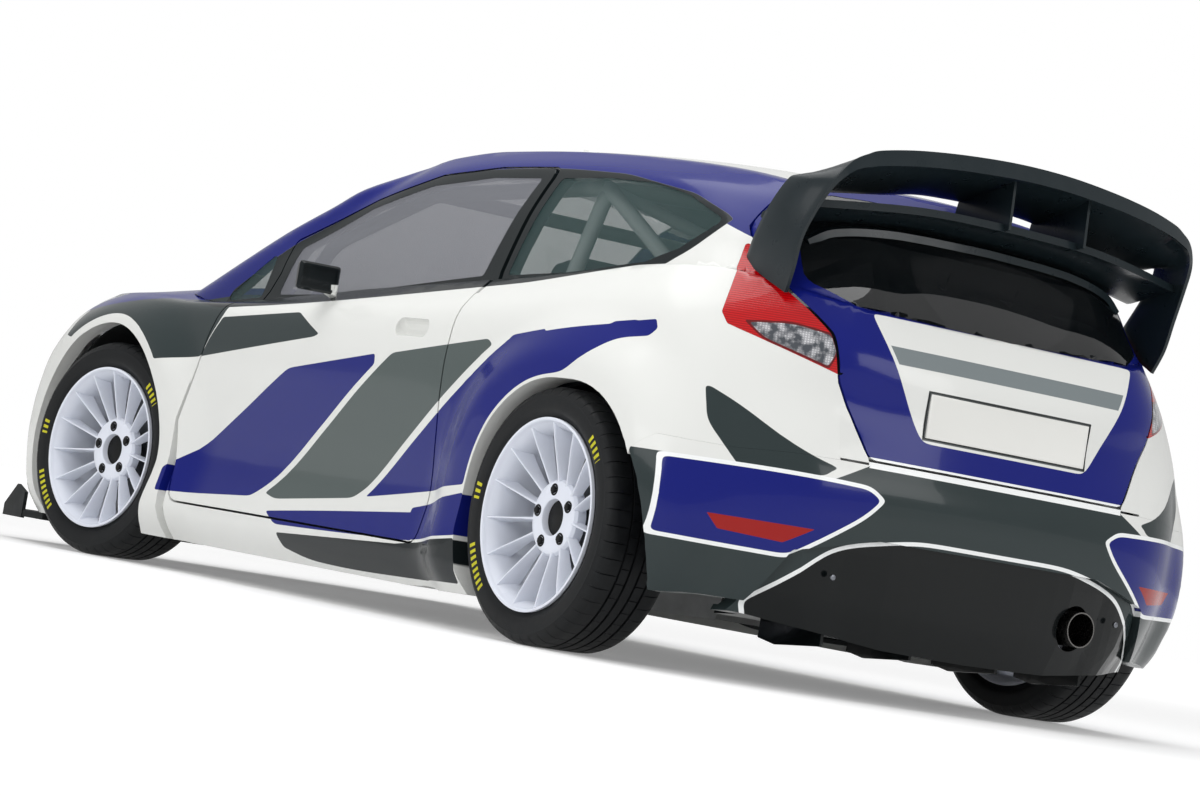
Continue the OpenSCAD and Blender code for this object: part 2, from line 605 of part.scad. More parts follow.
liner_t = 6;
liner_low = -65;
liner_y = [500, fit_y(842.9)];
rear_liner_end = 795;
module stadium(r, sweep) {
    for (x = [0, -sweep]) translate([x, 0]) circle(r, $fn = 48);
    if (sweep > 0) translate([-sweep, -r]) square([sweep, 2 * r]);
}
module liner(r, sweep, end) {
    difference() {
        along_y(liner_y[0] - liner_t, end) stadium(r + liner_t, sweep);
        along_y(liner_y[0], big) stadium(r, sweep);
        block([-big, big], [-big, big], [-big, liner_low]);
        // Gap for the drive shaft, the arms and the strut.
        block([-120, 120], [-big, liner_y[0] + 1], [-big, big]);
    }
}
module wheel_arches() color("dimgray") both() {
    difference() {
        translate([front_axle, 0, arch_z]) liner(front_arch_r, 0, liner_y[1]);
        translate([front_axle, strut_y(arch_z + front_arch_r), 500]) cylinder(r = spring_r + 14, h = big);
    }
    translate([rear_axle, 0, arch_z]) liner(rear_arch_r, rear_arch_sweep, rear_liner_end);
}

module glass_skin() difference() {
    upper_body(1);
    upper_body(1 + glass_t, fine = true);
}
module fixed_glass() color("lightblue", 0.5) {
    difference() {
        intersection() {
            glass_skin();
            screen_prism(0);
        }
        lower_body(-seam);
    }
    both() intersection() {
        glass_skin();
        side_glass_prism(0);
    }
}

// Tubes of the roll cage: each runs a little past its end points, so that they join at the bends.
cage_r = 22;
module tube(a, b, r = cage_r, past = 0.4) {
    d = b - a;
    n = norm(d);
    translate(a) rotate([0, acos(d[2] / n), atan2(d[1], d[0])]) hull()
        for (z = [-r * past, n + r * past - 1]) translate([0, 0, z]) cylinder(r = r, h = 1, $fn = 8);
}
module bent_tube(points, r = cage_r) for (i = [0 : len(points) - 2]) tube(points[i], points[i + 1], r);
cage_foot = floor_z + floor_t + 0.4 * cage_r + 1.5;
hoop = [for (p = [[-720,560,900],[-720,470,1226],[-720,0,1256]]) fit(p)];
module roll_cage() color("lightgray") {
    hoop_foot = [hoop[0][0], fit_y(600), cage_foot];
    both() {
        bent_tube([hoop_foot, hoop[0], hoop[1], hoop[2]]);
        bent_tube([hoop[1], fit([180,455,1200]), fit([552,552,1028]), fit([738,572,790]),
            [fit_x(736), fit_y(572), cage_foot]]);
        bent_tube([hoop[1], fit([-1250,440,900]), [fit_x(-1250), fit_y(440), boot_z + 0.4 * cage_r + seam]]);
        bent_tube([fit([-722,618,548]), fit([720,592,430])], 18);
    }
    bent_tube([fit([180,455,1200]), fit([180,-455,1200])]);
    bent_tube([hoop[1], mirrored(fit([-1250,440,900]))], 18);
    bent_tube([mirrored(hoop[1]), fit([-1250,440,900])], 18);
    bent_tube([fit([-721,-590,600]), fit([-721,590,600])]);
}

seat_y = 352;
module seat() {
    // Bucket shell with a hollow between its side bolsters.
    difference() {
        union() {
            hull() {
                translate([-210, 0, 60]) rotate([90, 0, 0]) cylinder(r = 60, h = 430, center = true, $fn = 12);
                translate([230, 0, 80]) rotate([90, 0, 0]) cylinder(r = 60, h = 400, center = true, $fn = 12);
                translate([-190, 0, 140]) rotate([90, 0, 0]) cylinder(r = 50, h = 430, center = true, $fn = 12);
                translate([210, 0, 160]) rotate([90, 0, 0]) cylinder(r = 30, h = 400, center = true, $fn = 12);
            }
            hull() {
                translate([-230, 0, 80]) rotate([90, 0, 0]) cylinder(r = 60, h = 430, center = true, $fn = 12);
                translate([-380, 0, 560]) rotate([90, 0, 0]) cylinder(r = 60, h = 430, center = true, $fn = 12);
                translate([-300, 0, 560]) rotate([90, 0, 0]) cylinder(r = 50, h = 430, center = true, $fn = 12);
            }
            hull() {
                translate([-380, 0, 540]) rotate([90, 0, 0]) cylinder(r = 60, h = 380, center = true, $fn = 12);
                translate([-430, 0, 800]) rotate([90, 0, 0]) cylinder(r = 45, h = 260, center = true, $fn = 12);
                translate([-350, 0, 790]) rotate([90, 0, 0]) cylinder(r = 40, h = 300, center = true, $fn = 12);
            }
        }
        hull() {
            translate([-130, 0, 150]) rotate([90, 0, 0]) cylinder(r = 50, h = 350, center = true, $fn = 12);
            translate([320, 0, 180]) rotate([90, 0, 0]) cylinder(r = 60, h = 330, center = true, $fn = 12);
            translate([-130, 0, 400]) rotate([90, 0, 0]) cylinder(r = 50, h = 350, center = true, $fn = 12);
            translate([320, 0, 400]) rotate([90, 0, 0]) cylinder(r = 60, h = 330, center = true, $fn = 12);
        }
        hull() {
            translate([-130, 0, 150]) rotate([90, 0, 0]) cylinder(r = 40, h = 350, center = true, $fn = 12);
            translate([-280, 0, 600]) rotate([90, 0, 0]) cylinder(r = 60, h = 370, center = true, $fn = 12);
            translate([0, 0, 600]) rotate([90, 0, 0]) cylinder(r = 60, h = 370, center = true, $fn = 12);
        }
        hull() {
            translate([-285, 0, 620]) rotate([90, 0, 0]) cylinder(r = 60, h = 330, center = true, $fn = 12);
            translate([-335, 0, 820]) rotate([90, 0, 0]) cylinder(r = 50, h = 220, center = true, $fn = 12);
            translate([-100, 0, 820]) rotate([90, 0, 0]) cylinder(r = 50, h = 220, center = true, $fn = 12);
        }
    }
    for (y = [-180, 160]) translate([-200, y, -40]) cube([400, 20, 60]);
}
module seats() color("darkslategray") both()
    translate([fit_x(-230), fit_y(seat_y), floor_z + floor_t + 40 + seam]) seat();

column_tilt = 25;
wheel_hub = [fit_x(175), fit_y(seat_y), fit_z(735)];
dash_back = fit_x(420);
module dashboard() color("dimgray") {
    difference() {
        intersection() {
            union() {
                along_y(-big, big) outline([for (p = [[450,600],[460,800],[560,815],[740,800],[740,620],
                    [600,560]]) fit_side(p)], 20);
                hull() {
                    translate([fit_x(440), fit_y(seat_y), fit_z(815)]) sphere(40, $fn = 20);
                    translate([fit_x(540), fit_y(seat_y), fit_z(815)]) sphere(40, $fn = 20);
                    translate([fit_x(440), fit_y(seat_y) - 110, fit_z(805)]) sphere(35, $fn = 20);
                    translate([fit_x(440), fit_y(seat_y) + 110, fit_z(805)]) sphere(35, $fn = 20);
                }
            }
            lower_body(side_wall + panel_gap + 40);
            block([-big, bulkhead_x - seam], [-575, 575], [0, fit_z(880)]);
        }
        both() bent_cut();
    }
    // Steering column.
    translate(wheel_hub) rotate([0, 90 + column_tilt, 0]) translate([0, 0, 25]) cylinder(r = 26, h = 330);
}
module bent_cut() bent_tube([fit([552,552,1028]), fit([738,572,790]), [fit_x(736), fit_y(572), cage_foot]],
    cage_r + 0.4);

module engine() color("silver") block([fit_x(1060), fit_x(1440)], [-330, 330], [fit_z(215), fit_z(700)]);

diff_r = 68;
module driveline() color("gray") {
    block([fit_x(1060), fit_x(1300)], [332, 400], [fit_z(240), fit_z(440)]);
    translate([fit_x(-1180), 0, fit_z(258)]) rotate([0, 90, 0])
        cylinder(r = 26, h = fit_x(1060) - fit_x(-1180) - seam);
    translate([fit_x(-1230), 0, fit_z(268)]) rotate([0, 90, 0]) cylinder(r = 60, h = 90);
    translate([rear_axle, 0, wheel_r]) rotate([90, 0, 0]) cylinder(r = diff_r, h = 280, center = true);
    both() translate([rear_axle, 139, wheel_r]) rotate([-90, 0, 0]) cylinder(r = 16, h = wheel_y - 139 - 167);
    translate([front_axle, 399, wheel_r]) rotate([-90, 0, 0]) cylinder(r = 16, h = 190);
    translate([front_axle, -330 - seam, wheel_r]) rotate([90, 0, 0]) cylinder(r = 16, h = 259);
    both() translate([front_axle, 590, wheel_r]) sphere(38);
}

module exhaust() color("silver") {
    difference() {
        union() {
            translate([fit_x(-1500), exhaust_y, exhaust_z]) rotate([0, -90, 0])
                cylinder(r = exhaust_r, h = fit_x(-1500) - rear_x - 22);
            translate([fit_x(-1560), exhaust_y + 10, exhaust_z]) rotate([0, -90, 0])
                cylinder(r = 83, h = 150);
        }
        translate([fit_x(-1750), exhaust_y, exhaust_z]) rotate([0, -90, 0])
            cylinder(r = exhaust_r - 3, h = big);
    }
    for (i = [0 : len(exhaust_route) - 2])
        pipe(exhaust_route[i], exhaust_route[i + 1], 30);
    for (i = [1 : len(exhaust_route) - 2]) translate(exhaust_route[i]) sphere(31);
}
exhaust_route = [[fit_x(-1520), exhaust_y, exhaust_z], [fit_x(-1180), -120, fit_z(200)],
    [fit_x(-1060), -62, fit_z(186)], [fit_x(900), -62, fit_z(186)]];
module pipe(a, b, r) {
    d = b - a;
    translate(a) rotate([0, acos(d[2] / norm(d)), atan2(d[1], d[0])]) cylinder(r = r, h = norm(d));
}

// Front struts turn about an axis that leans inward at the top.
kingpin_lean = 12.2;
kingpin_y = wheel_y - 90;
function strut_y(z) = kingpin_y - (z - wheel_r) * tan(kingpin_lean);
spring_r = 50;
strut_r = 18;
rim_w = 8 * 25.4 + 20;
hub_bore = 30;
stub_r = hub_bore - 0.4;
steer_axis = [0, -sin(kingpin_lean), cos(kingpin_lean)];
spin_axis = let (s = sin(kingpin_lean), c = cos(kingpin_lean), k = parked_steer)
    [-c * sin(k), cos(k) + s * s * (1 - cos(k)), -s * c * (1 - cos(k))];
front_lift = (wheel_y - kingpin_y + tyre_w / 2) * abs(spin_axis[2]);
kingpin = [front_axle, kingpin_y, wheel_r + front_lift];
module steered(s) {
    translate([0, 0, 0]) on_side(s) translate(kingpin) rotate(a = parked_steer * s, v = steer_axis)
        translate(-kingpin) children();
}
module at_wheel(front, s) {
    if (front) steered(s) translate([front_axle, wheel_y, wheel_r + front_lift]) children();
    else on_side(s) translate([rear_axle, wheel_y, wheel_r]) children();
}
arm_t = 24;
arm_z = fit_z(215);
module arm(a, b) translate([0, 0, arm_z]) linear_extrude(arm_t) {
    u = (b - a) / norm(b - a);
    n = [-u[1], u[0]] * 20;
    translate(a) circle(20);
    translate(b) circle(20);
    polygon([a + n, b + n, b - n, a - n]);
}
module suspension_arms() color("gray") {
    both() {
        // Lower arms from the subframe to just short of the knuckles.
        for (x = [130, -170]) arm([front_axle, wheel_y - 150], [front_axle + x, 428]);
        for (x = [130, -170]) block([front_axle + x - 30, front_axle + x + 30], [400, 470],
            [arm_z, 430 - seam]);
        // Rear arms with the fixed uprights, stub axles, brake discs and struts.
        arm([rear_axle, wheel_y - 150], [kick_x - floor_t - seam - 22, 380]);
        arm([rear_axle, wheel_y - 150], [rear_axle - 130, 360]);
        block([rear_axle - 152, rear_axle - 108], [345, 375], [arm_z + 1, boot_z - floor_t - seam]);
        difference() {
            block([rear_axle - 45, rear_axle + 45], [wheel_y - 165, wheel_y - 125], [arm_z, 465]);
            translate([rear_axle, 0, wheel_r]) rotate([-90, 0, 0]) cylinder(r = 18, h = wheel_y - 130);
        }
        translate([rear_axle, wheel_y - 126, wheel_r]) rotate([-90, 0, 0]) stub(156);
        translate([rear_axle, wheel_y - 145, 440]) cylinder(r = 20, h = arch_z + rear_arch_r - 1.2 - 440);
    }
    // Front subframe.
    for (x = [130, -170]) block([front_axle + x - 30, front_axle + x + 30], [-455, 455],
        [arm_z - 22, arm_z - seam]);
    for (x = [130, -170], s = [-1, 1]) block([front_axle + x - 30, front_axle + x + 30],
        s > 0 ? [400, 455] : [-455, -400], [arm_z - 2, arm_z + 1]);
}
// Stub axle with its brake disc, its end inside the rim's bore.
module stub(h) {
    cylinder(r = stub_r, h = h);
    translate([0, 0, h - 98]) difference() {
        cylinder(r = 172, h = 26);
        translate([0, 0, 9]) difference() {
            cylinder(r = 176, h = 8);
            cylinder(r = 110, h = 8);
        }
    }
}

module front_knuckle(s) color("gray") steered(s) translate([0, 0, front_lift]) {
    difference() {
        union() {
            block([front_axle - 40, front_axle + 40], [wheel_y - 110, wheel_y - 74],
                [wheel_r - 80, wheel_r + 150]);
            translate([front_axle, wheel_y - 74, wheel_r]) rotate([90, 0, 0]) cylinder(r = 62, h = 36);
        }
        translate([front_axle, wheel_y - 90, wheel_r]) rotate([90, 0, 0]) cylinder(r = 26, h = 200);
    }
    translate([front_axle, wheel_y - 75, wheel_r]) rotate([-90, 0, 0]) stub(105);
    // Brake caliper.
    difference() {
        translate([front_axle - 175, wheel_y - 84, wheel_r - 60]) cube([60, 58, 120]);
        translate([front_axle, wheel_y, wheel_r]) rotate([90, 0, 0]) cylinder(r = 174, h = 70);
    }
    block([front_axle - 150, front_axle], [wheel_y - 84, wheel_y - 76], [wheel_r - 30, wheel_r + 30]);
    // Strut with its spring.
    foot = [front_axle, strut_y(440), 440];
    lean = [0, -tan(kingpin_lean), 1];
    pipe(foot, foot + lean * (tower_z - front_lift - seam - strut_r * sin(kingpin_lean) - 440), strut_r);
    translate(foot + lean * 205) rotate([kingpin_lean, 0, 0]) cylinder(r = spring_r, h = 76);
}

// Rim with its spokes cut from one dished disc, and a tyre with a rounded shoulder.
module rim(front, s) color("whitesmoke") at_wheel(front, s) rotate([-90, 0, 0]) {
    r = rim_d / 2;
    h = rim_w / 2;
    rotate_extrude($fn = 72) polygon([[r, h], [r - 10, h], [r - 22, h - 12], [r - 32, h - 20],
        [r - 34, -h + 20], [r - 22, -h + 10], [r - 8, -h], [r, -h], [r, -h + 9], [r - 12, -h + 12],
        [r - 24, -h + 30], [r - 26, h - 44], [r - 12, h - 24], [r - 10, h - 9], [r, h - 9]]);
    intersection() {
        rotate_extrude($fn = 72) polygon([[hub_bore, 22], [hub_bore, 58], [60, 58], [72, 50], [150, 78],
            [r - 26, h - 22], [r - 26, h - 52], [150, 48], [72, 22]]);
        union() {
            cylinder(r = 72, h = big, center = true);
            for (k = [0 : spokes - 1]) rotate([0, 0, 360 / spokes * k]) linear_extrude(big, center = true)
                polygon([[0, -13], [150, -8], [r, -13], [r, 13], [150, 8], [0, 13]]);
        }
    }
}
module tyre(front, s) color("black") at_wheel(front, s) rotate([-90, 0, 0]) {
    r = rim_d / 2 + seam;
    h = rim_w / 2;
    w = tyre_w / 2;
    rotate_extrude($fn = 72) polygon([[r, h - 22], [r, h - 10], [r + 14, h - 2], [r + 36, w],
        [wheel_r - 24, w - 2], [wheel_r - 6, w - 14], [wheel_r, w - 28], [wheel_r, -w + 28],
        [wheel_r - 6, -w + 14], [wheel_r - 24, -w + 2], [r + 36, -w], [r + 14, -h + 2], [r, -h + 10],
        [r, -h + 22], [r + 8, 0]]);
}

module bonnet() color("royalblue") difference() {
    intersection() {
        thin_wall(top_wall);
        bonnet_prism(0);
        block([bonnet_rear, big], [-big, big], [fit_z(bonnet_floor), big]);
    }
    for (z = [0, -50]) translate([0, 0, z]) upper_body(-panel_gap - 2);
    // Two vents.
    both() along_z(0, big) outline([for (p = [[1500,180],[1560,190],[1560,330],[1510,310]])
        fit_plan(p)], 8);
}

module door(s) color("white") difference() {
    intersection() {
        cabin_wall();
        on_side(s) door_prism(0);
    }
    on_side(s) door_glass_prism(seam);
    // Handle recess.
    on_side(s) translate(fit([-470, 838, 770])) scale([1, 1, 1]) hull() for (x = [-60, 60])
        translate([x, 15, 0]) sphere(26, $fn = 20);
}
module door_glass(s) color("lightblue", 0.5) intersection() {
    glass_skin();
    on_side(s) door_glass_prism(0);
}
module mirror_housing(s) color("dimgray") on_side(s) {
    base = fit([105, 776, 842]);
    head = fit([40, 880, 885]);
    difference() {
        bent_tube([base, base + [-10, 40, 14], base + [-30, 76, 24], head - [0, 20, 10]], 9);
        lower_body(-seam);
    }
    // Head lofted through rounded slices, with the mirror's recess behind.
    slices = [[-18, 56, 34], [-8, 62, 40], [8, 60, 38], [22, 50, 30], [34, 34, 18], [39, 16, 8]];
    translate(head) rotate([0, 0, -8]) difference() {
        for (i = [0 : len(slices) - 2]) hull() for (c = [slices[i], slices[i + 1]], y = [-1, 1], z = [-1, 1])
            translate([c[0], y * (c[1] - 8), z * (c[2] - 8)]) rotate([0, 90, 0]) cylinder(r = 8, h = 1, $fn = 8);
        translate([-40, -50, -28]) cube([30, 100, 56]);
    }
}

module tailgate() color("white") {
    difference() {
        intersection() {
            difference() {
                whole_body();
                lower_body(top_wall);
                upper_body(top_wall);
            }
            tailgate_prism(0);
            block([-big, fit_x(tailgate_front)], [-big, big], [fit_z(560), big]);
        }
        rear_glass_prism(seam);
        both() tail_lamp_prism(seam);
        rear_bumper_region(panel_gap);
        // Recess for the blank plate.
        plate_place() block([-20, 9], [-266, 266], [0, 118]);
    }
    plate_place() block([4, 10], [-261, 261], [3, 115]);
}
module plate_place() translate(fit([-1951, 0, 658])) rotate([0, 1, 0]) children();
module rear_glass() color("lightblue", 0.5) intersection() {
    glass_skin();
    rear_glass_prism(0);
    tailgate_prism(0);
}

// Wing: two curved side plates, two main elements and a small lower one, with two fins between.
module wing_section(x, z, chord, t, tilt, half, y_drop) {
    for (i = [-5 : 4]) {
        a = i / 5;
        b = (i + 1) / 5;
        hull() for (k = [a, b]) translate([x + 40 * k * k, k * half, z - y_drop * k * k])
            rotate([0, tilt, 0]) rotate([90, 0, 0]) linear_extrude(1)
            hull() {
                translate([0, 0]) circle(t / 2, $fn = 8);
                translate([-chord * 0.5, t * 0.25]) circle(t * 0.4, $fn = 8);
                translate([-chord, -t * 0.2]) circle(t * 0.2, $fn = 8);
            }
    }
}
wing_top = fit_z(1352);
wing_half = 590;
module rear_wing() color("dimgray") difference() {
    wing_parts();
    upper_body(-seam);
    lower_body(-seam);
}
module wing_parts() {
    wing_section(fit_x(-1690), wing_top, 230, 26, 4, wing_half, 40);
    wing_section(fit_x(-1640), wing_top - 95, 170, 20, 8, wing_half, 36);
    both() {
        hull() {
            translate([fit_x(-1690), wing_half, wing_top - 60]) sphere(16, $fn = 10);
            translate([fit_x(-1920), wing_half, wing_top - 60]) sphere(8, $fn = 10);
            translate([fit_x(-1640), wing_half + 10, wing_top - 160]) sphere(16, $fn = 10);
            translate([fit_x(-1860), wing_half + 10, wing_top - 160]) sphere(8, $fn = 10);
        }
        hull() {
            translate([fit_x(-1640), wing_half + 10, wing_top - 160]) sphere(16, $fn = 10);
            translate([fit_x(-1840), wing_half + 10, wing_top - 160]) sphere(8, $fn = 10);
            translate([fit_x(-1690), wing_half - 20, wing_top - 380]) sphere(12, $fn = 10);
            translate([fit_x(-1790), wing_half - 40, wing_top - 380]) sphere(8, $fn = 10);
        }
        hull() for (x = [-1720, -1900], z = [-14, -90]) translate([fit_x(x), 170, wing_top + z])
            sphere(4, $fn = 8);
    }
}

module steering_wheel() color("dimgray") translate(wheel_hub) rotate([0, 90 + column_tilt, 0]) {
    rotate_extrude($fn = 64) translate([160, 0]) circle(15, $fn = 24);
    difference() {
        translate([0, 0, -5]) cylinder(r = 45, h = 60);
        translate([0, 0, 20]) cylinder(r = 27, h = 60);
    }
    for (a = [0, 120, 240]) rotate([0, 0, a + 90]) translate([40, -14, -3]) cube([108, 28, 6]);
}

floor_pan();
bulkhead();
roof();
side_frame(1);  // side_frame_left
side_frame(-1);  // side_frame_right
rear_panel();
front_wing(1);  // front_wing_left
front_wing(-1);  // front_wing_right
front_bumper();
grille();
splitter();
lamps();
rear_bumper();
diffuser();
wheel_arches();
fixed_glass();
roll_cage();
seats();
dashboard();
engine();
driveline();
exhaust();
suspension_arms();
bonnet();
door(1);  // door_left
door_glass(1);  // door_glass_left
mirror_housing(1);  // mirror_left
door(-1);  // door_right
door_glass(-1);  // door_glass_right
mirror_housing(-1);  // mirror_right
tailgate();
rear_glass();
rear_wing();
front_knuckle(1);  // front_knuckle_left
front_knuckle(-1);  // front_knuckle_right
rim(true, 1);  // rim_front_left
tyre(true, 1);  // tyre_front_left
rim(true, -1);  // rim_front_right
tyre(true, -1);  // tyre_front_right
rim(false, 1);  // rim_rear_left
tyre(false, 1);  // tyre_rear_left
rim(false, -1);  // rim_rear_right
tyre(false, -1);  // tyre_rear_right
steering_wheel();
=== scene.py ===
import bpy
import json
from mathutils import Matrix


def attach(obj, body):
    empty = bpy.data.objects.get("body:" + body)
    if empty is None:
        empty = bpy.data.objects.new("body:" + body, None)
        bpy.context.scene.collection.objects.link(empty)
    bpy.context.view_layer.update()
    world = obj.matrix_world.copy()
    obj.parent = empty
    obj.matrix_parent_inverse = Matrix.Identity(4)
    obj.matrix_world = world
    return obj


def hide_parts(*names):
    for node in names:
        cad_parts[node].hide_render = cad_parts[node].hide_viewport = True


bl_info = {
    "name": "Rally car",
    "version": (1, 0, 0),
    "blender": (4, 5, 0),
    "location": "3D View > Sidebar > Rally car",
    "description": "Dresses the packed rally car: smooth paintwork, glass, lamps, wheels, wing and cabin",
    "category": "Add Mesh",
}

import json
import math

import bmesh
import bpy
import numpy as np
from bpy.props import FloatProperty, FloatVectorProperty, IntProperty, PointerProperty
from mathutils import Matrix, Vector
from mathutils.bvhtree import BVHTree

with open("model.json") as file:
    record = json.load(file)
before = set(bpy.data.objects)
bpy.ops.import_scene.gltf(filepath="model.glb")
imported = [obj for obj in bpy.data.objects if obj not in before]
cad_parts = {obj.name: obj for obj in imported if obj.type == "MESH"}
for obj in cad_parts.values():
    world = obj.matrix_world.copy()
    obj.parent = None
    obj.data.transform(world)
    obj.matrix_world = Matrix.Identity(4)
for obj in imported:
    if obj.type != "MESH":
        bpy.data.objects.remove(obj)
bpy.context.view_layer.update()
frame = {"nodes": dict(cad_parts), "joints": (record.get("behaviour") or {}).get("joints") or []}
MM = 0.001

# Body curves of the car, in millimetres, the same as in the part's source.
LOWER_ROWS = [
    [[1940,0,95],[1930,350,95],[1875,600,95],[1765,735,95],[1600,800,95],[1200,805,95],[860,812,92],
     [400,820,90],[0,822,90],[-400,825,90],[-820,830,92],[-1280,830,110],[-1640,770,150],
     [-1800,640,165],[-1895,480,150],[-1926,270,130],[-1932,0,125]],
    [[1958,0,175],[1948,350,175],[1895,620,175],[1780,775,175],[1610,845,180],[1200,855,180],[860,858,180],
     [400,858,180],[0,858,180],[-400,860,180],[-820,868,180],[-1280,868,200],[-1650,808,230],
     [-1795,690,238],[-1905,520,230],[-1944,290,220],[-1952,0,216]],
    [[1962,0,330],[1954,350,330],[1900,635,330],[1780,800,335],[1610,862,340],[1200,860,340],[860,838,330],
     [400,828,325],[0,826,325],[-400,832,325],[-820,848,330],[-1280,866,340],[-1650,848,355],
     [-1802,730,360],[-1918,548,360],[-1960,300,354],[-1968,0,350]],
    [[1960,0,470],[1950,350,470],[1896,638,475],[1776,800,480],[1610,864,485],[1200,862,485],[860,845,480],
     [400,842,475],[0,842,475],[-400,846,475],[-820,856,480],[-1280,864,490],[-1650,854,500],
     [-1804,735,500],[-1925,552,500],[-1971,300,500],[-1981.5,0,500]],
    [[1938,0,580],[1926,350,582],[1870,640,590],[1755,788,598],[1600,862,605],[1200,862,610],[860,856,605],
     [400,858,600],[0,860,600],[-400,862,605],[-820,864,610],[-1280,862,620],[-1650,838,622],
     [-1798,722,612],[-1908,550,597],[-1957,300,588],[-1966,0,585]],
    [[1893,0,655],[1878,350,660],[1815,630,675],[1712,760,690],[1575,838,705],[1200,850,715],[860,855,715],
     [400,858,712],[0,860,712],[-400,862,720],[-820,862,730],[-1280,850,745],[-1635,812,748],
     [-1772,712,728],[-1890,520,706],[-1944,290,692],[-1952,0,690]],
    [[1830,0,700],[1812,350,708],[1745,610,730],[1655,725,750],[1530,795,770],[1200,815,785],[860,828,790],
     [400,832,796],[0,834,806],[-400,838,820],[-820,838,842],[-1280,820,872],[-1590,770,885],
     [-1746,668,870],[-1896,505,838],[-1942,290,822],[-1950,0,818]],
    [[1738,0,752],[1722,340,762],[1662,590,785],[1580,700,800],[1470,752,812],[1180,768,818],[860,752,806],
     [400,744,842],[0,748,876],[-400,752,905],[-820,748,938],[-1280,730,985],[-1540,690,1000],
     [-1692,620,985],[-1862,470,948],[-1893,270,940],[-1902,0,938]]]
LOWER_CROWN = [[-1902,938],[-1560,1000],[-820,938],[400,842],[860,915],[1090,938],[1200,928],[1470,866],
    [1588,822],[1662,790],[1738,752]]
UPPER_ROWS = [
    [[1250,0,860],[1238,330,850],[1222,565,815],[1200,712,790],[760,735,798],[200,738,812],[-200,744,845],
     [-600,742,880],[-1000,734,915],[-1400,712,945],[-1700,640,930],[-1848,470,915],[-1886,250,905],
     [-1895,0,900]],
    [[1160,0,895],[1145,322,885],[1112,552,862],[1070,706,838],[690,722,842],[190,720,868],[-200,726,900],
     [-600,724,935],[-1000,714,968],[-1390,690,1000],[-1680,622,985],[-1836,450,962],[-1868,238,955],
     [-1878,0,952]],
    [[960,0,1002],[942,310,992],[905,534,968],[838,688,945],[560,698,950],[160,695,970],[-205,698,1000],
     [-600,694,1030],[-995,686,1050],[-1370,664,1060],[-1650,598,1040],[-1790,440,1030],[-1826,230,1024],
     [-1838,0,1022]],
    [[755,0,1112],[738,297,1102],[700,510,1075],[645,660,1042],[410,662,1046],[120,665,1070],[-210,664,1100],
     [-600,660,1122],[-990,652,1130],[-1350,634,1120],[-1624,582,1095],[-1742,426,1095],[-1778,222,1091],
     [-1790,0,1090]],
    [[570,0,1207],[555,285,1197],[520,489,1168],[455,632,1125],[275,630,1138],[70,632,1165],[-215,622,1198],
     [-600,612,1215],[-985,608,1208],[-1330,600,1182],[-1590,558,1150],[-1694,411,1155],[-1728,214,1153],
     [-1740,0,1153]],
    [[448,0,1263],[436,270,1253],[400,466,1224],[338,604,1185],[180,594,1202],[30,590,1232],[-220,582,1260],
     [-600,575,1268],[-980,570,1256],[-1315,560,1232],[-1560,522,1200],[-1640,388,1210],[-1672,202,1212],
     [-1684,0,1212]],
    [[310,0,1303],[300,250,1293],[272,432,1271],[215,536,1243],[115,535,1263],[0,525,1292],[-220,512,1315],
     [-600,505,1318],[-975,500,1304],[-1300,490,1280],[-1535,458,1250],[-1600,342,1262],[-1625,178,1270],
     [-1635,0,1274]]]
UPPER_CROWN = [[-1635,1274],[-1535,1290],[-1300,1318],[-975,1348],[-600,1364],[-220,1364],[0,1350],
    [110,1336],[310,1303]]
LOWER_STEPS = [1, 2, 2, 2, 3, 3, 2, 1, 1, 2, 3, 3, 2, 2, 2, 1]
UPPER_STEPS = [1, 1, 1, 2, 2, 1, 1, 1, 1, 2, 2, 1, 1]
COARSE_CROWN = [0.8, 0.5, 0.0]
SMOOTH_CROWN = [0.96, 0.92, 0.86, 0.8, 0.73, 0.65, 0.57, 0.5, 0.4, 0.3, 0.2, 0.1, 0.0]
FRONT_AXLE, REAR_AXLE = 1199.5, -1280.5
ARCH_Z, FRONT_ARCH_R, REAR_ARCH_R, REAR_ARCH_SWEEP = 312.0, 395.0, 358.0, 55.0
BLISTER, BLISTER_FLAT, BLISTER_END, HALF_WIDTH = 47.0, 440.0, 610.0, 910.0
WHEEL_R, WHEEL_Y, RIM_R, RIM_HALF = 325.0, 792.0, 245.0, 111.6


def ease(t):
    k = np.clip(t, 0, 1)
    return k * k * (3 - 2 * k)


def curve_point(a, b, c, d, t):
    return 0.5 * (2 * b + (c - a) * t + (2 * a - 5 * b + 4 * c - d) * t * t
                  + (3 * b - a - 3 * c + d) * t ** 3)


def other_side(p):
    return np.array([p[0], -p[1], p[2]])


def along_row(row, steps):
    row = [np.array(p, float) for p in row]
    padded = [other_side(row[1])] + row + [other_side(row[-2])]
    out = []
    for i, n in enumerate(steps):
        out += [curve_point(*padded[i:i + 4], k / n) for k in range(n)]
    return np.array(out + [row[-1]])


def across_rows(rows, n):
    rows = [rows[0]] + rows + [rows[-1]]
    out = []
    for i in range(len(rows) - 3):
        out += [curve_point(*rows[i:i + 4], k / n) for k in range(n)]
    return out + [rows[-1]]


def crown_height(x, crown, smooth):
    xs = np.array([c[0] for c in crown], float)
    zs = np.array([c[1] for c in crown], float)
    if not smooth:
        return np.interp(x, xs, zs)
    slope = np.gradient(zs, xs)
    i = np.clip(np.searchsorted(xs, x) - 1, 0, len(xs) - 2)
    h = xs[i + 1] - xs[i]
    t = np.clip((x - xs[i]) / h, 0, 1)
    return ((2 * t ** 3 - 3 * t ** 2 + 1) * zs[i] + (t ** 3 - 2 * t ** 2 + t) * h * slope[i]
            + (3 * t ** 2 - 2 * t ** 3) * zs[i + 1] + (t ** 3 - t ** 2) * h * slope[i + 1])


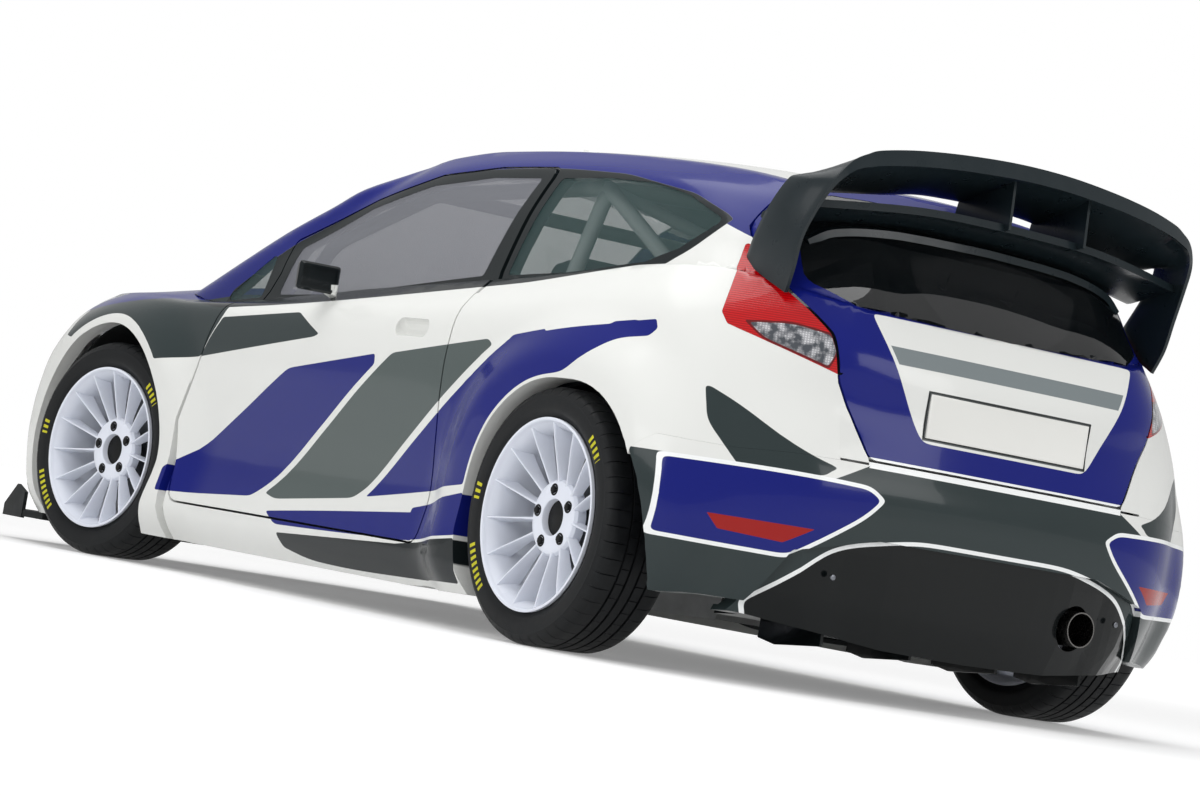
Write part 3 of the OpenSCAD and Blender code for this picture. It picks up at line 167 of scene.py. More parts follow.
def skin_grid(rows, crown, steps, finer, n, crown_steps):
    """Grid of the body's surface on the left side, with finer times the source's columns."""
    wide = across_rows([along_row(r, [s * finer for s in steps]) for r in rows], n)
    top = wide[-1]
    z = crown_height(top[:, 0], crown, finer > 1)
    for f in crown_steps:
        row = top.copy()
        row[:, 1] = top[:, 1] * f
        row[:, 2] = top[:, 2] + (z - top[:, 2]) * (1 - f * f)
        wide.append(row)
    return np.array(wide)


def blistered(g):
    """Pushes the lower body outward round each wheel."""
    b = np.zeros(g.shape[:2])
    for axle in (FRONT_AXLE, REAR_AXLE):
        d = np.hypot(g[..., 0] - axle, (g[..., 2] - ARCH_Z) * 1.08)
        b = np.maximum(b, ease((BLISTER_END - d) / (BLISTER_END - BLISTER_FLAT)))
    g = g.copy()
    wide = np.minimum(g[..., 1] + BLISTER * b * ease((g[..., 1] - 700) / 80), HALF_WIDTH)
    g[..., 1] = np.where(g[..., 1] < 700, g[..., 1], wide)
    return g


def grid_surface(g):
    """Vertices in metres and triangles of both sides of a grid, with its normals pointing outward."""
    rows, cols = g.shape[:2]
    left = g.reshape(-1, 3) * MM
    right = left * [1, -1, 1]
    faces = []
    for i in range(rows - 1):
        for j in range(cols - 1):
            a, b = i * cols + j, (i + 1) * cols + j
            for f in ((a, b, b + 1), (a, b + 1, a + 1)):
                faces.append(f)
                faces.append(tuple(k + rows * cols for k in reversed(f)))
    return np.concatenate([left, right]), faces


class Skin:
    """The faceted body surface of the source and the smooth one that takes its place."""

    def __init__(self):
        rough = [blistered(skin_grid(LOWER_ROWS, LOWER_CROWN, LOWER_STEPS, 1, 2, COARSE_CROWN)),
                 skin_grid(UPPER_ROWS, UPPER_CROWN, UPPER_STEPS, 1, 2, COARSE_CROWN)]
        smooth = [blistered(skin_grid(LOWER_ROWS, LOWER_CROWN, LOWER_STEPS, 5, 10, SMOOTH_CROWN)),
                  skin_grid(UPPER_ROWS, UPPER_CROWN, UPPER_STEPS, 6, 8, SMOOTH_CROWN)]
        self.rough = [BVHTree.FromPolygons(*grid_surface(g)) for g in rough]
        self.smooth = []
        for g in smooth:
            verts, faces = grid_surface(g)
            mesh = bpy.data.meshes.new("skin")
            mesh.from_pydata(verts, [], faces)
            bm = bmesh.new()
            bm.from_mesh(mesh)
            bmesh.ops.remove_doubles(bm, verts=bm.verts, dist=2e-5)
            bmesh.ops.recalc_face_normals(bm, faces=bm.faces)
            bm.verts.ensure_lookup_table()
            bm.normal_update()
            low = min(bm.faces, key=lambda f: f.calc_center_median().x)
            turn = -1 if low.normal.x > 0 else 1
            tree = BVHTree.FromBMesh(bm)
            corners = [[v.co.copy() for v in f.verts] for f in bm.faces]
            normals = [[v.normal * turn for v in f.verts] for f in bm.faces]
            self.smooth.append((tree, corners, normals))
            bm.free()
            bpy.data.meshes.remove(mesh)

    def smooth_at(self, which, p):
        """Point and normal of the smooth surface nearest to p."""
        tree, corners, normals = self.smooth[which]
        q, _, face, _ = tree.find_nearest(p)
        if len(corners[face]) != 3:
            return q, normals[face][0].normalized()
        w = barycentric(q, corners[face])
        n = sum((normals[face][k] * w[k] for k in range(3)), Vector())
        return q, n.normalized()

    def move(self, p):
        """Where a point of the faceted car goes on the smooth one, its depth and the skin's normal there."""
        near = [t.find_nearest(p) for t in self.rough]
        which = 0 if near[0][3] < near[1][3] else 1
        q = near[which][0]
        s, n = self.smooth_at(which, q)
        return p + (s - q), near[which][3], n


def barycentric(p, tri):
    a, b, c = tri
    v0, v1, v2 = b - a, c - a, p - a
    d00, d01, d11, d20, d21 = v0.dot(v0), v0.dot(v1), v1.dot(v1), v2.dot(v0), v2.dot(v1)
    den = d00 * d11 - d01 * d01
    if abs(den) < 1e-18:
        return 1, 0, 0
    v = (d11 * d20 - d01 * d21) / den
    w = (d00 * d21 - d01 * d20) / den
    return 1 - v - w, v, w


skin = Skin()


# Mesh helpers

def select_only(*objects):
    bpy.ops.object.select_all(action="DESELECT")
    for ob in objects:
        ob.select_set(True)
    bpy.context.view_layer.objects.active = objects[0]


def new_object(name, verts, faces, smooth=None):
    mesh = bpy.data.meshes.new(name)
    mesh.from_pydata([tuple(v) for v in verts], [], faces)
    mesh.validate()
    ob = bpy.data.objects.new(name, mesh)
    bpy.context.scene.collection.objects.link(ob)
    if smooth is not None:
        shade(ob, smooth)
    return ob


def shade(ob, angle=35):
    select_only(ob)
    bpy.ops.object.shade_smooth_by_angle(angle=math.radians(angle))


def tidy_normals(ob):
    bm = bmesh.new()
    bm.from_mesh(ob.data)
    bmesh.ops.remove_doubles(bm, verts=bm.verts, dist=1e-6)
    bmesh.ops.recalc_face_normals(bm, faces=bm.faces)
    bm.to_mesh(ob.data)
    bm.free()


def settle(ob):
    """Puts a piece's place into its mesh."""
    select_only(ob)
    bpy.ops.object.transform_apply(location=True, rotation=True, scale=True)


def apply_modifiers(ob):
    select_only(ob)
    for mod in list(ob.modifiers):
        bpy.ops.object.modifier_apply(modifier=mod.name)


def join(name, *objects):
    select_only(*objects)
    bpy.ops.object.join()
    ob = bpy.context.view_layer.objects.active
    ob.name = ob.data.name = name
    return ob


def finish_piece(ob, body, materials, replaces=()):
    """Gives a piece its materials, its body and the nodes it stands for."""
    ob.data.materials.clear()
    for m in materials if isinstance(materials, (list, tuple)) else [materials]:
        ob.data.materials.append(m)
    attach(ob, body)
    if replaces:
        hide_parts(*replaces)
    return ob


def dress_node(name, material):
    ob = frame["nodes"][name]
    if not ob.data.materials:
        ob.data.materials.append(material)
    for k in range(len(ob.material_slots)):
        ob.material_slots[k].link = "OBJECT"
        ob.material_slots[k].material = material


def smooth_panel(node, name, cell=0.03, depth=0.003):
    """A copy of a body node, cut into small cells and laid on the smooth body surface."""
    bm = bmesh.new()
    bm.from_mesh(frame["nodes"][node].data)
    bmesh.ops.remove_doubles(bm, verts=bm.verts, dist=2e-5)
    bmesh.ops.dissolve_degenerate(bm, edges=bm.edges, dist=1e-5)
    for axis in range(3):
        values = [v.co[axis] for v in bm.verts]
        first = math.floor(min(values) / cell) + 1
        last = math.ceil(max(values) / cell)
        for k in range(first, last):
            at, no = Vector((0, 0, 0)), Vector((0, 0, 0))
            at[axis] = k * cell + 0.0003 * (axis + 1)
            no[axis] = 1
            bmesh.ops.bisect_plane(bm, geom=bm.verts[:] + bm.edges[:] + bm.faces[:], dist=1e-6,
                                   plane_co=at, plane_no=no)
    bmesh.ops.triangulate(bm, faces=bm.faces)
    bm.verts.ensure_lookup_table()
    moved = [skin.move(v.co) for v in bm.verts]
    outer = {}
    for f in bm.faces:
        ids = [v.index for v in f.verts]
        if all(moved[i][1] < depth for i in ids) and f.normal.dot(moved[ids[0]][2]) > 0.4:
            outer[f.index] = True
    for v, (p, _, _) in zip(bm.verts, moved):
        v.co = p
    round_arches(bm)
    bm.normal_update()
    mesh = bpy.data.meshes.new(name)
    for f in bm.faces:
        f.smooth = True
    bm.to_mesh(mesh)
    bm.free()
    normals = []
    for poly in mesh.polygons:
        for i in poly.vertices:
            normals.append(tuple(moved[i][2]) if poly.index in outer else tuple(poly.normal))
    mesh.normals_split_custom_set(normals)
    ob = bpy.data.objects.new(name, mesh)
    bpy.context.scene.collection.objects.link(ob)
    return ob


def round_arches(bm):
    """Moves the points on the wheel openings' faceted edges out to the true round."""
    for v in bm.verts:
        x, z = v.co.x / MM, v.co.z / MM
        if z < 20 or abs(v.co.y) < 0.45:
            continue
        for axle, r, sweep in ((FRONT_AXLE, FRONT_ARCH_R, 0), (REAR_AXLE, REAR_ARCH_R, REAR_ARCH_SWEEP)):
            cx = min(max(x, axle - sweep), axle) if sweep else axle
            d = math.hypot(x - cx, z - ARCH_Z)
            if r - 3.5 < d < r + 0.2 and z > 110:
                v.co.x = (cx + (x - cx) * r / d) * MM
                v.co.z = (ARCH_Z + (z - ARCH_Z) * r / d) * MM


# Material helpers

def srgb(r, g, b):
    """Linear colour from the 0 to 255 values seen on screen."""
    def one(c):
        c /= 255
        return c / 12.92 if c <= 0.04045 else ((c + 0.055) / 1.055) ** 2.4
    return one(r), one(g), one(b)


class CarColours(bpy.types.PropertyGroup):
    white: FloatVectorProperty(name="White", description="White paint of the body", subtype="COLOR",
                               size=3, min=0, max=1, default=srgb(221, 222, 219))
    blue: FloatVectorProperty(name="Blue", description="Blue of the painted panels", subtype="COLOR",
                              size=3, min=0, max=1, default=srgb(18, 27, 112))
    charcoal: FloatVectorProperty(name="Charcoal", description="Dark grey of the painted panels",
                                  subtype="COLOR", size=3, min=0, max=1, default=srgb(46, 55, 56))
    grey: FloatVectorProperty(name="Grey", description="Lighter grey of the slanted side panel",
                              subtype="COLOR", size=3, min=0, max=1, default=srgb(80, 89, 88))
    frame_black: FloatVectorProperty(name="Window frames", description="Black of the window frames",
                                     subtype="COLOR", size=3, min=0, max=1, default=srgb(24, 30, 32))
    rim: FloatVectorProperty(name="Rims", description="Paint of the rims", subtype="COLOR",
                             size=3, min=0, max=1, default=srgb(226, 230, 240))
    marking: FloatVectorProperty(name="Tyre marks", description="Marks on the tyres' side walls",
                                 subtype="COLOR", size=3, min=0, max=1, default=srgb(190, 185, 40))


class CarSizes(bpy.types.PropertyGroup):
    stripe: FloatProperty(name="White line", description="Width of the white lines on the bumper",
                          unit="LENGTH", min=0.004, max=0.02, default=0.010)
    spokes: IntProperty(name="Spokes", description="Spokes of each rim", min=8, max=20, default=15)
    tread: FloatProperty(name="Tread depth", description="Depth of the grooves in the tyres",
                         unit="LENGTH", min=0.002, max=0.01, default=0.006)


class Nodes:
    """Short way to add and link shader nodes."""

    def __init__(self, tree):
        self.tree = tree

    def add(self, kind, **settings):
        node = self.tree.nodes.new(kind)
        for key, value in settings.items():
            setattr(node, key, value)
        return node

    def link(self, a, b):
        self.tree.links.new(a, b)

    def feed(self, socket, value):
        if isinstance(value, bpy.types.NodeSocket):
            self.link(value, socket)
        else:
            socket.default_value = value

    def math(self, operation, a, b=0.0, c=0.0, clamp=False):
        node = self.add("ShaderNodeMath", operation=operation, use_clamp=clamp)
        for socket, value in zip(node.inputs, (a, b, c)):
            self.feed(socket, value)
        return node.outputs[0]

    def vector(self, operation, a, b=(0, 0, 0)):
        node = self.add("ShaderNodeVectorMath", operation=operation)
        self.feed(node.inputs[0], a)
        self.feed(node.inputs[1], b)
        return node.outputs["Value"] if operation in ("DOT_PRODUCT", "LENGTH", "DISTANCE") else node.outputs[0]

    def mix(self, factor, a, b):
        node = self.add("ShaderNodeMix", data_type="RGBA")
        self.feed(node.inputs[0], factor)
        self.feed(node.inputs[6], tuple(a) + (1,) if isinstance(a, (tuple, list)) and len(a) == 3 else a)
        self.feed(node.inputs[7], tuple(b) + (1,) if isinstance(b, (tuple, list)) and len(b) == 3 else b)
        return node.outputs[2]

    def noise(self, coords, scale, detail=3.0, roughness=0.5):
        node = self.add("ShaderNodeTexNoise")
        self.feed(node.inputs["Vector"], coords)
        node.inputs["Scale"].default_value = scale
        node.inputs["Detail"].default_value = detail
        node.inputs["Roughness"].default_value = roughness
        return node.outputs["Fac"]

    def ramp(self, value, low, high, to_low=0.0, to_high=1.0):
        node = self.add("ShaderNodeMapRange")
        for k, v in enumerate((value, low, high, to_low, to_high)):
            self.feed(node.inputs[k], v)
        return node.outputs[0]

    def bump(self, height, strength, distance):
        node = self.add("ShaderNodeBump")
        self.feed(node.inputs["Height"], height)
        node.inputs["Strength"].default_value = strength
        node.inputs["Distance"].default_value = distance
        return node.outputs[0]


def new_group(name, inputs, outputs):
    """A shader node group with named sockets, and the helper that fills it."""
    tree = bpy.data.node_groups.new(name, "ShaderNodeTree")
    for label, kind, value in inputs:
        socket = tree.interface.new_socket(name=label, in_out="INPUT", socket_type=kind)
        if value is not None:
            socket.default_value = value
    for label, kind in outputs:
        tree.interface.new_socket(name=label, in_out="OUTPUT", socket_type=kind)
    n = Nodes(tree)
    start = n.add("NodeGroupInput")
    end = n.add("NodeGroupOutput")
    return tree, n, start, end


def flat_coords(n, position, a, b):
    """Two of a point's coordinates in millimetres with 1 as the third, for the edge tests."""
    split = n.add("ShaderNodeSeparateXYZ")
    n.link(position, split.inputs[0])
    both = n.add("ShaderNodeCombineXYZ")
    for k, axis in enumerate((a, b)):
        value = split.outputs[axis]
        if axis == 1:
            value = n.math("ABSOLUTE", value)
        n.link(n.math("MULTIPLY", value, 1000.0), both.inputs[k])
    both.inputs[2].default_value = 1.0
    return both.outputs[0]


def edge_distance(n, coords, points, soft=14.0):
    """Depth in millimetres inside a convex outline, with its corners rounded."""
    cx = sum(p[0] for p in points) / len(points)
    cy = sum(p[1] for p in points) / len(points)
    depth = None
    for p, q in zip(points, points[1:] + points[:1]):
        dx, dy = q[0] - p[0], q[1] - p[1]
        size = math.hypot(dx, dy)
        nx, ny = -dy / size, dx / size
        if (cx - p[0]) * nx + (cy - p[1]) * ny < 0:
            nx, ny = -nx, -ny
        d = n.vector("DOT_PRODUCT", coords, (nx, ny, -(p[0] * nx + p[1] * ny)))
        depth = d if depth is None else n.math("SMOOTH_MIN", depth, d, soft)
    return depth


def inside(n, depth, edge=0.0):
    """Mask of where the depth is more than edge, with a clean narrow border."""
    return n.math("MULTIPLY_ADD", n.math("SUBTRACT", depth, edge), 1.4, 0.5, clamp=True)


def beyond_circle(n, coords, centre, radius, sweep=0.0):
    """Distance in millimetres outside a wheel opening."""
    split = n.add("ShaderNodeSeparateXYZ")
    n.link(coords, split.inputs[0])
    dx = n.math("SUBTRACT", split.outputs[0], centre[0])
    if sweep:
        near = n.math("MAXIMUM", n.math("MINIMUM", dx, 0.0), -sweep)
        dx = n.math("SUBTRACT", dx, near)
    dz = n.math("SUBTRACT", split.outputs[1], centre[1])
    both = n.math("SQRT", n.math("ADD", n.math("MULTIPLY", dx, dx), n.math("MULTIPLY", dz, dz)))
    return n.math("SUBTRACT", both, radius)


SIDE_BLUE = [
    [[760,296],[760,224],[707,227],[289,252],[225,284],[-318,662],[-312,690],[153,627]],
    [[178,226],[92,187],[-136,190],[-653,207],[-653,298],[-92,245]],
    [[-600,204],[-935,241],[-925,352],[-600,293]]]
REAR_FLANK = [
    [[-336,303],[-930,374],[-1130,640],[-1130,790],[-980,771],[-851,682]],
    [[-1050,612],[-1300,690],[-1450,798],[-1450,836],[-1250,805],[-980,771]],
    [[-1390,780],[-1527,800],[-1542,822],[-1524,845],[-1390,826]]]
SIDE_GREY = [[208,270],[147,257],[-267,294],[-334,328],[-886,742],[-862,757],[-402,697]]
SIDE_DARK = [
    [[1500,655],[1060,590],[690,634],[640,709],[610,760],[592,900],[1500,900]],
    [[690,634],[40,722],[22,731],[174,789],[606,756],[640,709]],
    [[-1706,690],[-1738,698],[-1800,661],[-1936,551],[-1930,526],[-1789,520],[-1758,615]]]
SILL_BLACK = [
    [[79,166],[43,129],[-87,107],[-307,101],[-760,112],[-760,200]],
    [[-400,104],[-780,112],[-969,118],[-932,233],[-400,173]]]
WINDOW_FRAME = [[840,797],[670,783],[383,802],[38,829],[-657,888],[-865,920],[-1084,941],[-1241,962],
    [-1352,990],[-1420,1040],[-1495,1130],[-1474,1142],[-1302,1196],[-965,1246],[-667,1258],[-360,1253],
    [-80,1230],[190,1156],[530,1018],[812,852]]


def side_paint_group():
    """Masks of the painted panels on the car's sides, from the place along and above the ground."""
    tree, n, start, end = new_group(
        "Side panels", [("Position", "NodeSocketVector", None)],
        [("Blue", "NodeSocketFloat"), ("Charcoal", "NodeSocketFloat"), ("Grey", "NodeSocketFloat"),
         ("Frame", "NodeSocketFloat")])
    c = flat_coords(n, start.outputs[0], 0, 2)
    front = beyond_circle(n, c, (FRONT_AXLE, ARCH_Z), FRONT_ARCH_R)
    rear = beyond_circle(n, c, (REAR_AXLE, ARCH_Z), REAR_ARCH_R, REAR_ARCH_SWEEP)
    blue = None
    for points in SIDE_BLUE:
        m = inside(n, edge_distance(n, c, points))
        blue = m if blue is None else n.math("MAXIMUM", blue, m)
    flank = None
    for points in REAR_FLANK:
        d = edge_distance(n, c, points, 10.0)
        flank = d if flank is None else n.math("SMOOTH_MAX", flank, d, 26.0)
    flank = n.math("SMOOTH_MIN", flank, n.math("SUBTRACT", rear, 9.0), 14.0)
    blue = n.math("MAXIMUM", blue, inside(n, flank))
    window = edge_distance(n, c, WINDOW_FRAME, 8.0)
    above = edge_distance(n, c, [[1700,720],[-1477,1123],[-1477,1700],[1700,1700]], 1.0)
    behind = edge_distance(n, c, [[-1470,1121],[-1700,1053],[-2000,1053],[-2000,1700],[-1470,1700]], 1.0)
    over = n.math("MAXIMUM", above, behind)
    blue = n.math("MAXIMUM", blue, inside(n, n.math("MINIMUM", over, n.math("MULTIPLY", window, -1.0))))
    dark = None
    for k, points in enumerate(SIDE_DARK):
        d = edge_distance(n, c, points, 10.0)
        if k == 0:
            d = n.math("SMOOTH_MIN", d, n.math("SUBTRACT", front, 30.0), 10.0)
        m = inside(n, d)
        dark = m if dark is None else n.math("MAXIMUM", dark, m)
    n.link(blue, end.inputs["Blue"])
    n.link(dark, end.inputs["Charcoal"])
    n.link(inside(n, edge_distance(n, c, SIDE_GREY)), end.inputs["Grey"])
    black = inside(n, window)
    for points in SILL_BLACK:
        black = n.math("MAXIMUM", black, inside(n, edge_distance(n, c, points, 14.0)))
    n.link(black, end.inputs["Frame"])
    return tree


TAIL_WHITE = [[-500,648],[262,648],[300,676],[371,800],[399,868],[440,938],[-500,938]]
BUMPER_BLUE = [[860,512],[600,520],[405,512],[372,490],[400,455],[585,324],[640,324],[860,330]]
REFLECTOR = [[758,395],[729,361],[596,353],[530,396]]
DIFFUSER_LINE = [[-500,401],[250,401],[330,388],[423,366],[478,339],[554,268],[619,200],[560,60],[-500,60]]


def tail_paint_group():
    """Masks of the painted panels on the tail and of a painted shade in the hollow round the plate, from the place
    across and above the ground.
    """
    tree, n, start, end = new_group(
        "Tail panels", [("Position", "NodeSocketVector", None), ("White line", "NodeSocketFloat", 10.0)],
        [("White", "NodeSocketFloat"), ("Stripe", "NodeSocketFloat"), ("Bumper blue", "NodeSocketFloat"),
         ("Line", "NodeSocketFloat"), ("Reflector", "NodeSocketFloat"), ("Body white", "NodeSocketFloat"),
         ("Lower line", "NodeSocketFloat"), ("Diffuser", "NodeSocketFloat"),
         ("Recess", "NodeSocketFloat")])
    c = flat_coords(n, start.outputs[0], 1, 2)
    line = start.outputs["White line"]
    white = edge_distance(n, c, TAIL_WHITE, 22.0)
    n.link(inside(n, white), end.inputs["White"])
    stripe = edge_distance(n, c, [[-500,826],[500,826],[500,868],[-500,868]], 1.0)
    n.link(inside(n, n.math("MINIMUM", stripe, n.math("SUBTRACT", white, line))), end.inputs["Stripe"])
    blue = edge_distance(n, c, BUMPER_BLUE, 20.0)
    n.link(inside(n, blue), end.inputs["Bumper blue"])
    edge = n.math("SUBTRACT", inside(n, n.math("ADD", blue, line)), inside(n, blue))
    diffuser = edge_distance(n, c, DIFFUSER_LINE, 20.0)
    n.link(inside(n, diffuser), end.inputs["Diffuser"])
    # Painted shade: a band over the hollow round the plate, painted dark grey so that a thin dark frame shows round
    # the plate.
    recess_shade = edge_distance(n, c, [[-500,655],[267,655],[267,777],[-500,777]], 1.0)
    n.link(inside(n, recess_shade), end.inputs["Recess"])
    under = edge_distance(n, c, [[-500,560],[500,560],[500,591],[-500,591]], 1.0)
    n.link(inside(n, under), end.inputs["Lower line"])
    low = n.math("SUBTRACT", inside(n, n.math("ADD", diffuser, line)), inside(n, diffuser))
    corner = edge_distance(n, c, [[-500,700],[-500,522],[506,522],[365,590],[300,700]], 1.0)
    side = edge_distance(n, c, [[506,522],[365,592],[300,900],[1000,900],[1000,522]], 1.0)
    rim = n.math("MINIMUM", inside(n, n.math("ADD", corner, line)), inside(n, side, -2.0))
    top = inside(n, edge_distance(n, c, [[-500,565],[412,565],[395,600],[-500,600]], 1.0))
    lines = n.math("MAXIMUM", n.math("MAXIMUM", edge, low), n.math("MAXIMUM", rim, top))
    n.link(lines, end.inputs["Line"])
    n.link(inside(n, edge_distance(n, c, REFLECTOR, 3.0)), end.inputs["Reflector"])
    n.link(inside(n, side), end.inputs["Body white"])
    return tree


def dust_group():
    """Fine road dust and dullness, thicker near the ground."""
    tree, n, start, end = new_group(
        "Road dust", [("Position", "NodeSocketVector", None), ("Amount", "NodeSocketFloat", 0.5)],
        [("Dust", "NodeSocketFloat"), ("Grain", "NodeSocketFloat")])
    split = n.add("ShaderNodeSeparateXYZ")
    n.link(start.outputs[0], split.inputs[0])
    height = n.ramp(split.outputs[2], 0.05, 0.45, 1.0, 0.0)
    cloud = n.ramp(n.noise(start.outputs[0], 6.0, 5.0, 0.6), 0.42, 0.75)
    speck = n.ramp(n.noise(start.outputs[0], 420.0, 2.0), 0.45, 0.7)
    dust = n.math("MULTIPLY", n.math("MULTIPLY", height, cloud), start.outputs["Amount"])
    n.link(n.math("ADD", dust, n.math("MULTIPLY", n.math("MULTIPLY", speck, dust), 0.5)), end.inputs["Dust"])
    n.link(n.noise(start.outputs[0], 900.0, 2.0), end.inputs["Grain"])
    return tree


def weave_group():
    """Twill weave of woven cloth, from the place on the piece."""
    tree, n, start, end = new_group(
        "Twill weave", [("Position", "NodeSocketVector", None), ("Scale", "NodeSocketFloat", 500.0)],
        [("Weave", "NodeSocketFloat")])
    scaled = n.add("ShaderNodeVectorMath", operation="SCALE")
    n.link(start.outputs[0], scaled.inputs[0])
    n.link(start.outputs["Scale"], scaled.inputs["Scale"])
    split = n.add("ShaderNodeSeparateXYZ")
    n.link(scaled.outputs[0], split.inputs[0])
    across = n.math("ADD", split.outputs[0], split.outputs[2])
    a = n.math("SINE", n.math("MULTIPLY", across, math.pi))
    along = n.math("ADD", split.outputs[1], n.math("MULTIPLY", across, 0.5))
    b = n.math("SINE", n.math("MULTIPLY", along, math.pi))
    n.link(n.math("MULTIPLY_ADD", n.math("MULTIPLY", a, b), 0.5, 0.5), end.inputs["Weave"])
    return tree


def group_node(n, name, position, **values):
    node = n.add("ShaderNodeGroup", node_tree=bpy.data.node_groups[name])
    n.link(position, node.inputs[0])
    for key, value in values.items():
        node.inputs[key].default_value = value
    return node


def start_material(name):
    mat = bpy.data.materials.new(name)
    mat.use_nodes = True
    n = Nodes(mat.node_tree)
    shader = mat.node_tree.nodes["Principled BSDF"]
    coords = n.add("ShaderNodeTexCoord").outputs["Object"]
    return mat, n, shader, coords


def paint_finish(n, shader, coords, colour, gloss=0.16, dust=0.04, dust_colour=srgb(120, 116, 106)):
    """Clear-coated paint with slight orange peel and dust low down."""
    d = group_node(n, "Road dust", coords, Amount=dust)
    n.link(n.mix(d.outputs["Dust"], colour, dust_colour), shader.inputs["Base Color"])
    peel = n.noise(coords, 260.0, 2.0)
    n.link(n.bump(peel, 0.03, 0.0006), shader.inputs["Normal"])
    dull = n.ramp(n.noise(coords, 9.0), 0.3, 0.7, gloss, gloss + 0.06)
    n.link(n.math("ADD", n.math("MULTIPLY", d.outputs["Dust"], 0.5), dull), shader.inputs["Roughness"])
    shader.inputs["Coat Weight"].default_value = 0.18
    shader.inputs["Coat Roughness"].default_value = 0.04
    shader.inputs["Specular IOR Level"].default_value = 0.12


def side_paint(looks):
    mat, n, shader, coords = start_material("side_paint")
    g = group_node(n, "Side panels", coords)
    colour = n.mix(g.outputs["Grey"], looks.white[:], looks.grey[:])
    colour = n.mix(g.outputs["Charcoal"], colour, looks.charcoal[:])
    colour = n.mix(g.outputs["Blue"], colour, looks.blue[:])
    colour = n.mix(g.outputs["Frame"], colour, looks.frame_black[:])
    paint_finish(n, shader, coords, colour)
    return mat


def tail_paint(looks, line):
    mat, n, shader, coords = start_material("tail_paint")
    g = group_node(n, "Tail panels", coords, **{"White line": line * 1000})
    colour = n.mix(g.outputs["White"], looks.blue[:], looks.white[:])
    colour = n.mix(g.outputs["Stripe"], colour, srgb(120, 128, 130))
    colour = n.mix(g.outputs["Lower line"], colour, srgb(238, 240, 240))
    # Painted shade: a dark grey frame in the hollow round the plate.
    colour = n.mix(g.outputs["Recess"], colour, srgb(84, 88, 88))
    paint_finish(n, shader, coords, colour)
    return mat


def bumper_paint(looks, line):
    mat, n, shader, coords = start_material("bumper_paint")
    g = group_node(n, "Tail panels", coords, **{"White line": line * 1000})
    side = group_node(n, "Side panels", coords)
    colour = n.mix(g.outputs["Body white"], looks.charcoal[:], looks.white[:])
    colour = n.mix(side.outputs["Charcoal"], colour, looks.charcoal[:])
    colour = n.mix(g.outputs["Bumper blue"], colour, looks.blue[:])
    colour = n.mix(g.outputs["Reflector"], colour, srgb(150, 24, 20))
    colour = n.mix(g.outputs["Line"], colour, srgb(238, 240, 240))
    paint_finish(n, shader, coords, colour)
    return mat


def diffuser_paint(looks, line):
    """Glossy black lower part within the white line, charcoal outside it."""
    mat, n, shader, coords = start_material("diffuser_paint")
    g = group_node(n, "Tail panels", coords, **{"White line": line * 1000})
    colour = n.mix(g.outputs["Diffuser"], looks.charcoal[:], srgb(9, 13, 14))
    colour = n.mix(g.outputs["Line"], colour, srgb(238, 240, 240))
    paint_finish(n, shader, coords, colour, gloss=0.14, dust=0.0)
    return mat


MIRROR_STALK = [[700,700],[822,700],[842,872],[700,890]]


def mirror_paint(looks):
    """Black mirror head on a white stalk."""
    mat, n, shader, coords = start_material("mirror_paint")
    stalk = inside(n, edge_distance(n, flat_coords(n, coords, 1, 2), MIRROR_STALK, 2.0))
    paint_finish(n, shader, coords, n.mix(stalk, srgb(20, 25, 27), looks.white[:]), dust=0.0)
    return mat


def plain_paint(name, colour, **finish):
    mat, n, shader, coords = start_material(name)
    shade_by = n.ramp(n.noise(coords, 3.0), 0.3, 0.7, 0.0, 1.0)
    paint_finish(n, shader, coords, n.mix(shade_by, tuple(c * 0.96 for c in colour), colour), **finish)
    return mat


def satin(name, colour, rough=0.45, grain=0.08, metallic=0.0, dust=0.08, coat=0.0, spec=0.2,
          mottle=0.15):
    """Satin plastic or painted steel with a fine grain."""
    mat, n, shader, coords = start_material(name)
    d = group_node(n, "Road dust", coords, Amount=dust)
    tone = n.ramp(n.noise(coords, 14.0, 4.0), 0.3, 0.7, 0.0, 1.0)
    base = n.mix(tone, tuple(c * (1 - mottle) for c in colour), tuple(min(1, c * (1 + mottle)) for c in colour))
    n.link(n.mix(d.outputs["Dust"], base, srgb(118, 112, 100)), shader.inputs["Base Color"])
    n.link(n.math("ADD", n.ramp(n.noise(coords, 22.0), 0.3, 0.7, rough - 0.06, rough + 0.06),
                  n.math("MULTIPLY", d.outputs["Dust"], 0.4)), shader.inputs["Roughness"])
    if grain:
        n.link(n.bump(d.outputs["Grain"], grain, 0.0005), shader.inputs["Normal"])
    shader.inputs["Metallic"].default_value = metallic
    shader.inputs["Specular IOR Level"].default_value = spec
    if coat:
        shader.inputs["Coat Weight"].default_value = coat
        shader.inputs["Coat Roughness"].default_value = 0.12
    return mat


def glass(name, colour, alpha=0.35):
    """Tinted glass: a dark sheen over a see-through sheet, with faint wipe marks. A pale colour makes the sheen a
    painted reflection rather than a tint.
    """
    mat, n, shader, coords = start_material(name)
    marks = n.ramp(n.noise(coords, 40.0, 4.0), 0.55, 0.8, 0.02, 0.07)
    n.link(marks, shader.inputs["Roughness"])
    shader.inputs["Base Color"].default_value = (*colour, 1)
    n.link(n.ramp(n.noise(coords, 3.0), 0.2, 0.8, alpha - 0.02, alpha + 0.02), shader.inputs["Alpha"])
    shader.inputs["Specular IOR Level"].default_value = 0.8
    shader.inputs["IOR"].default_value = 1.5
    return mat


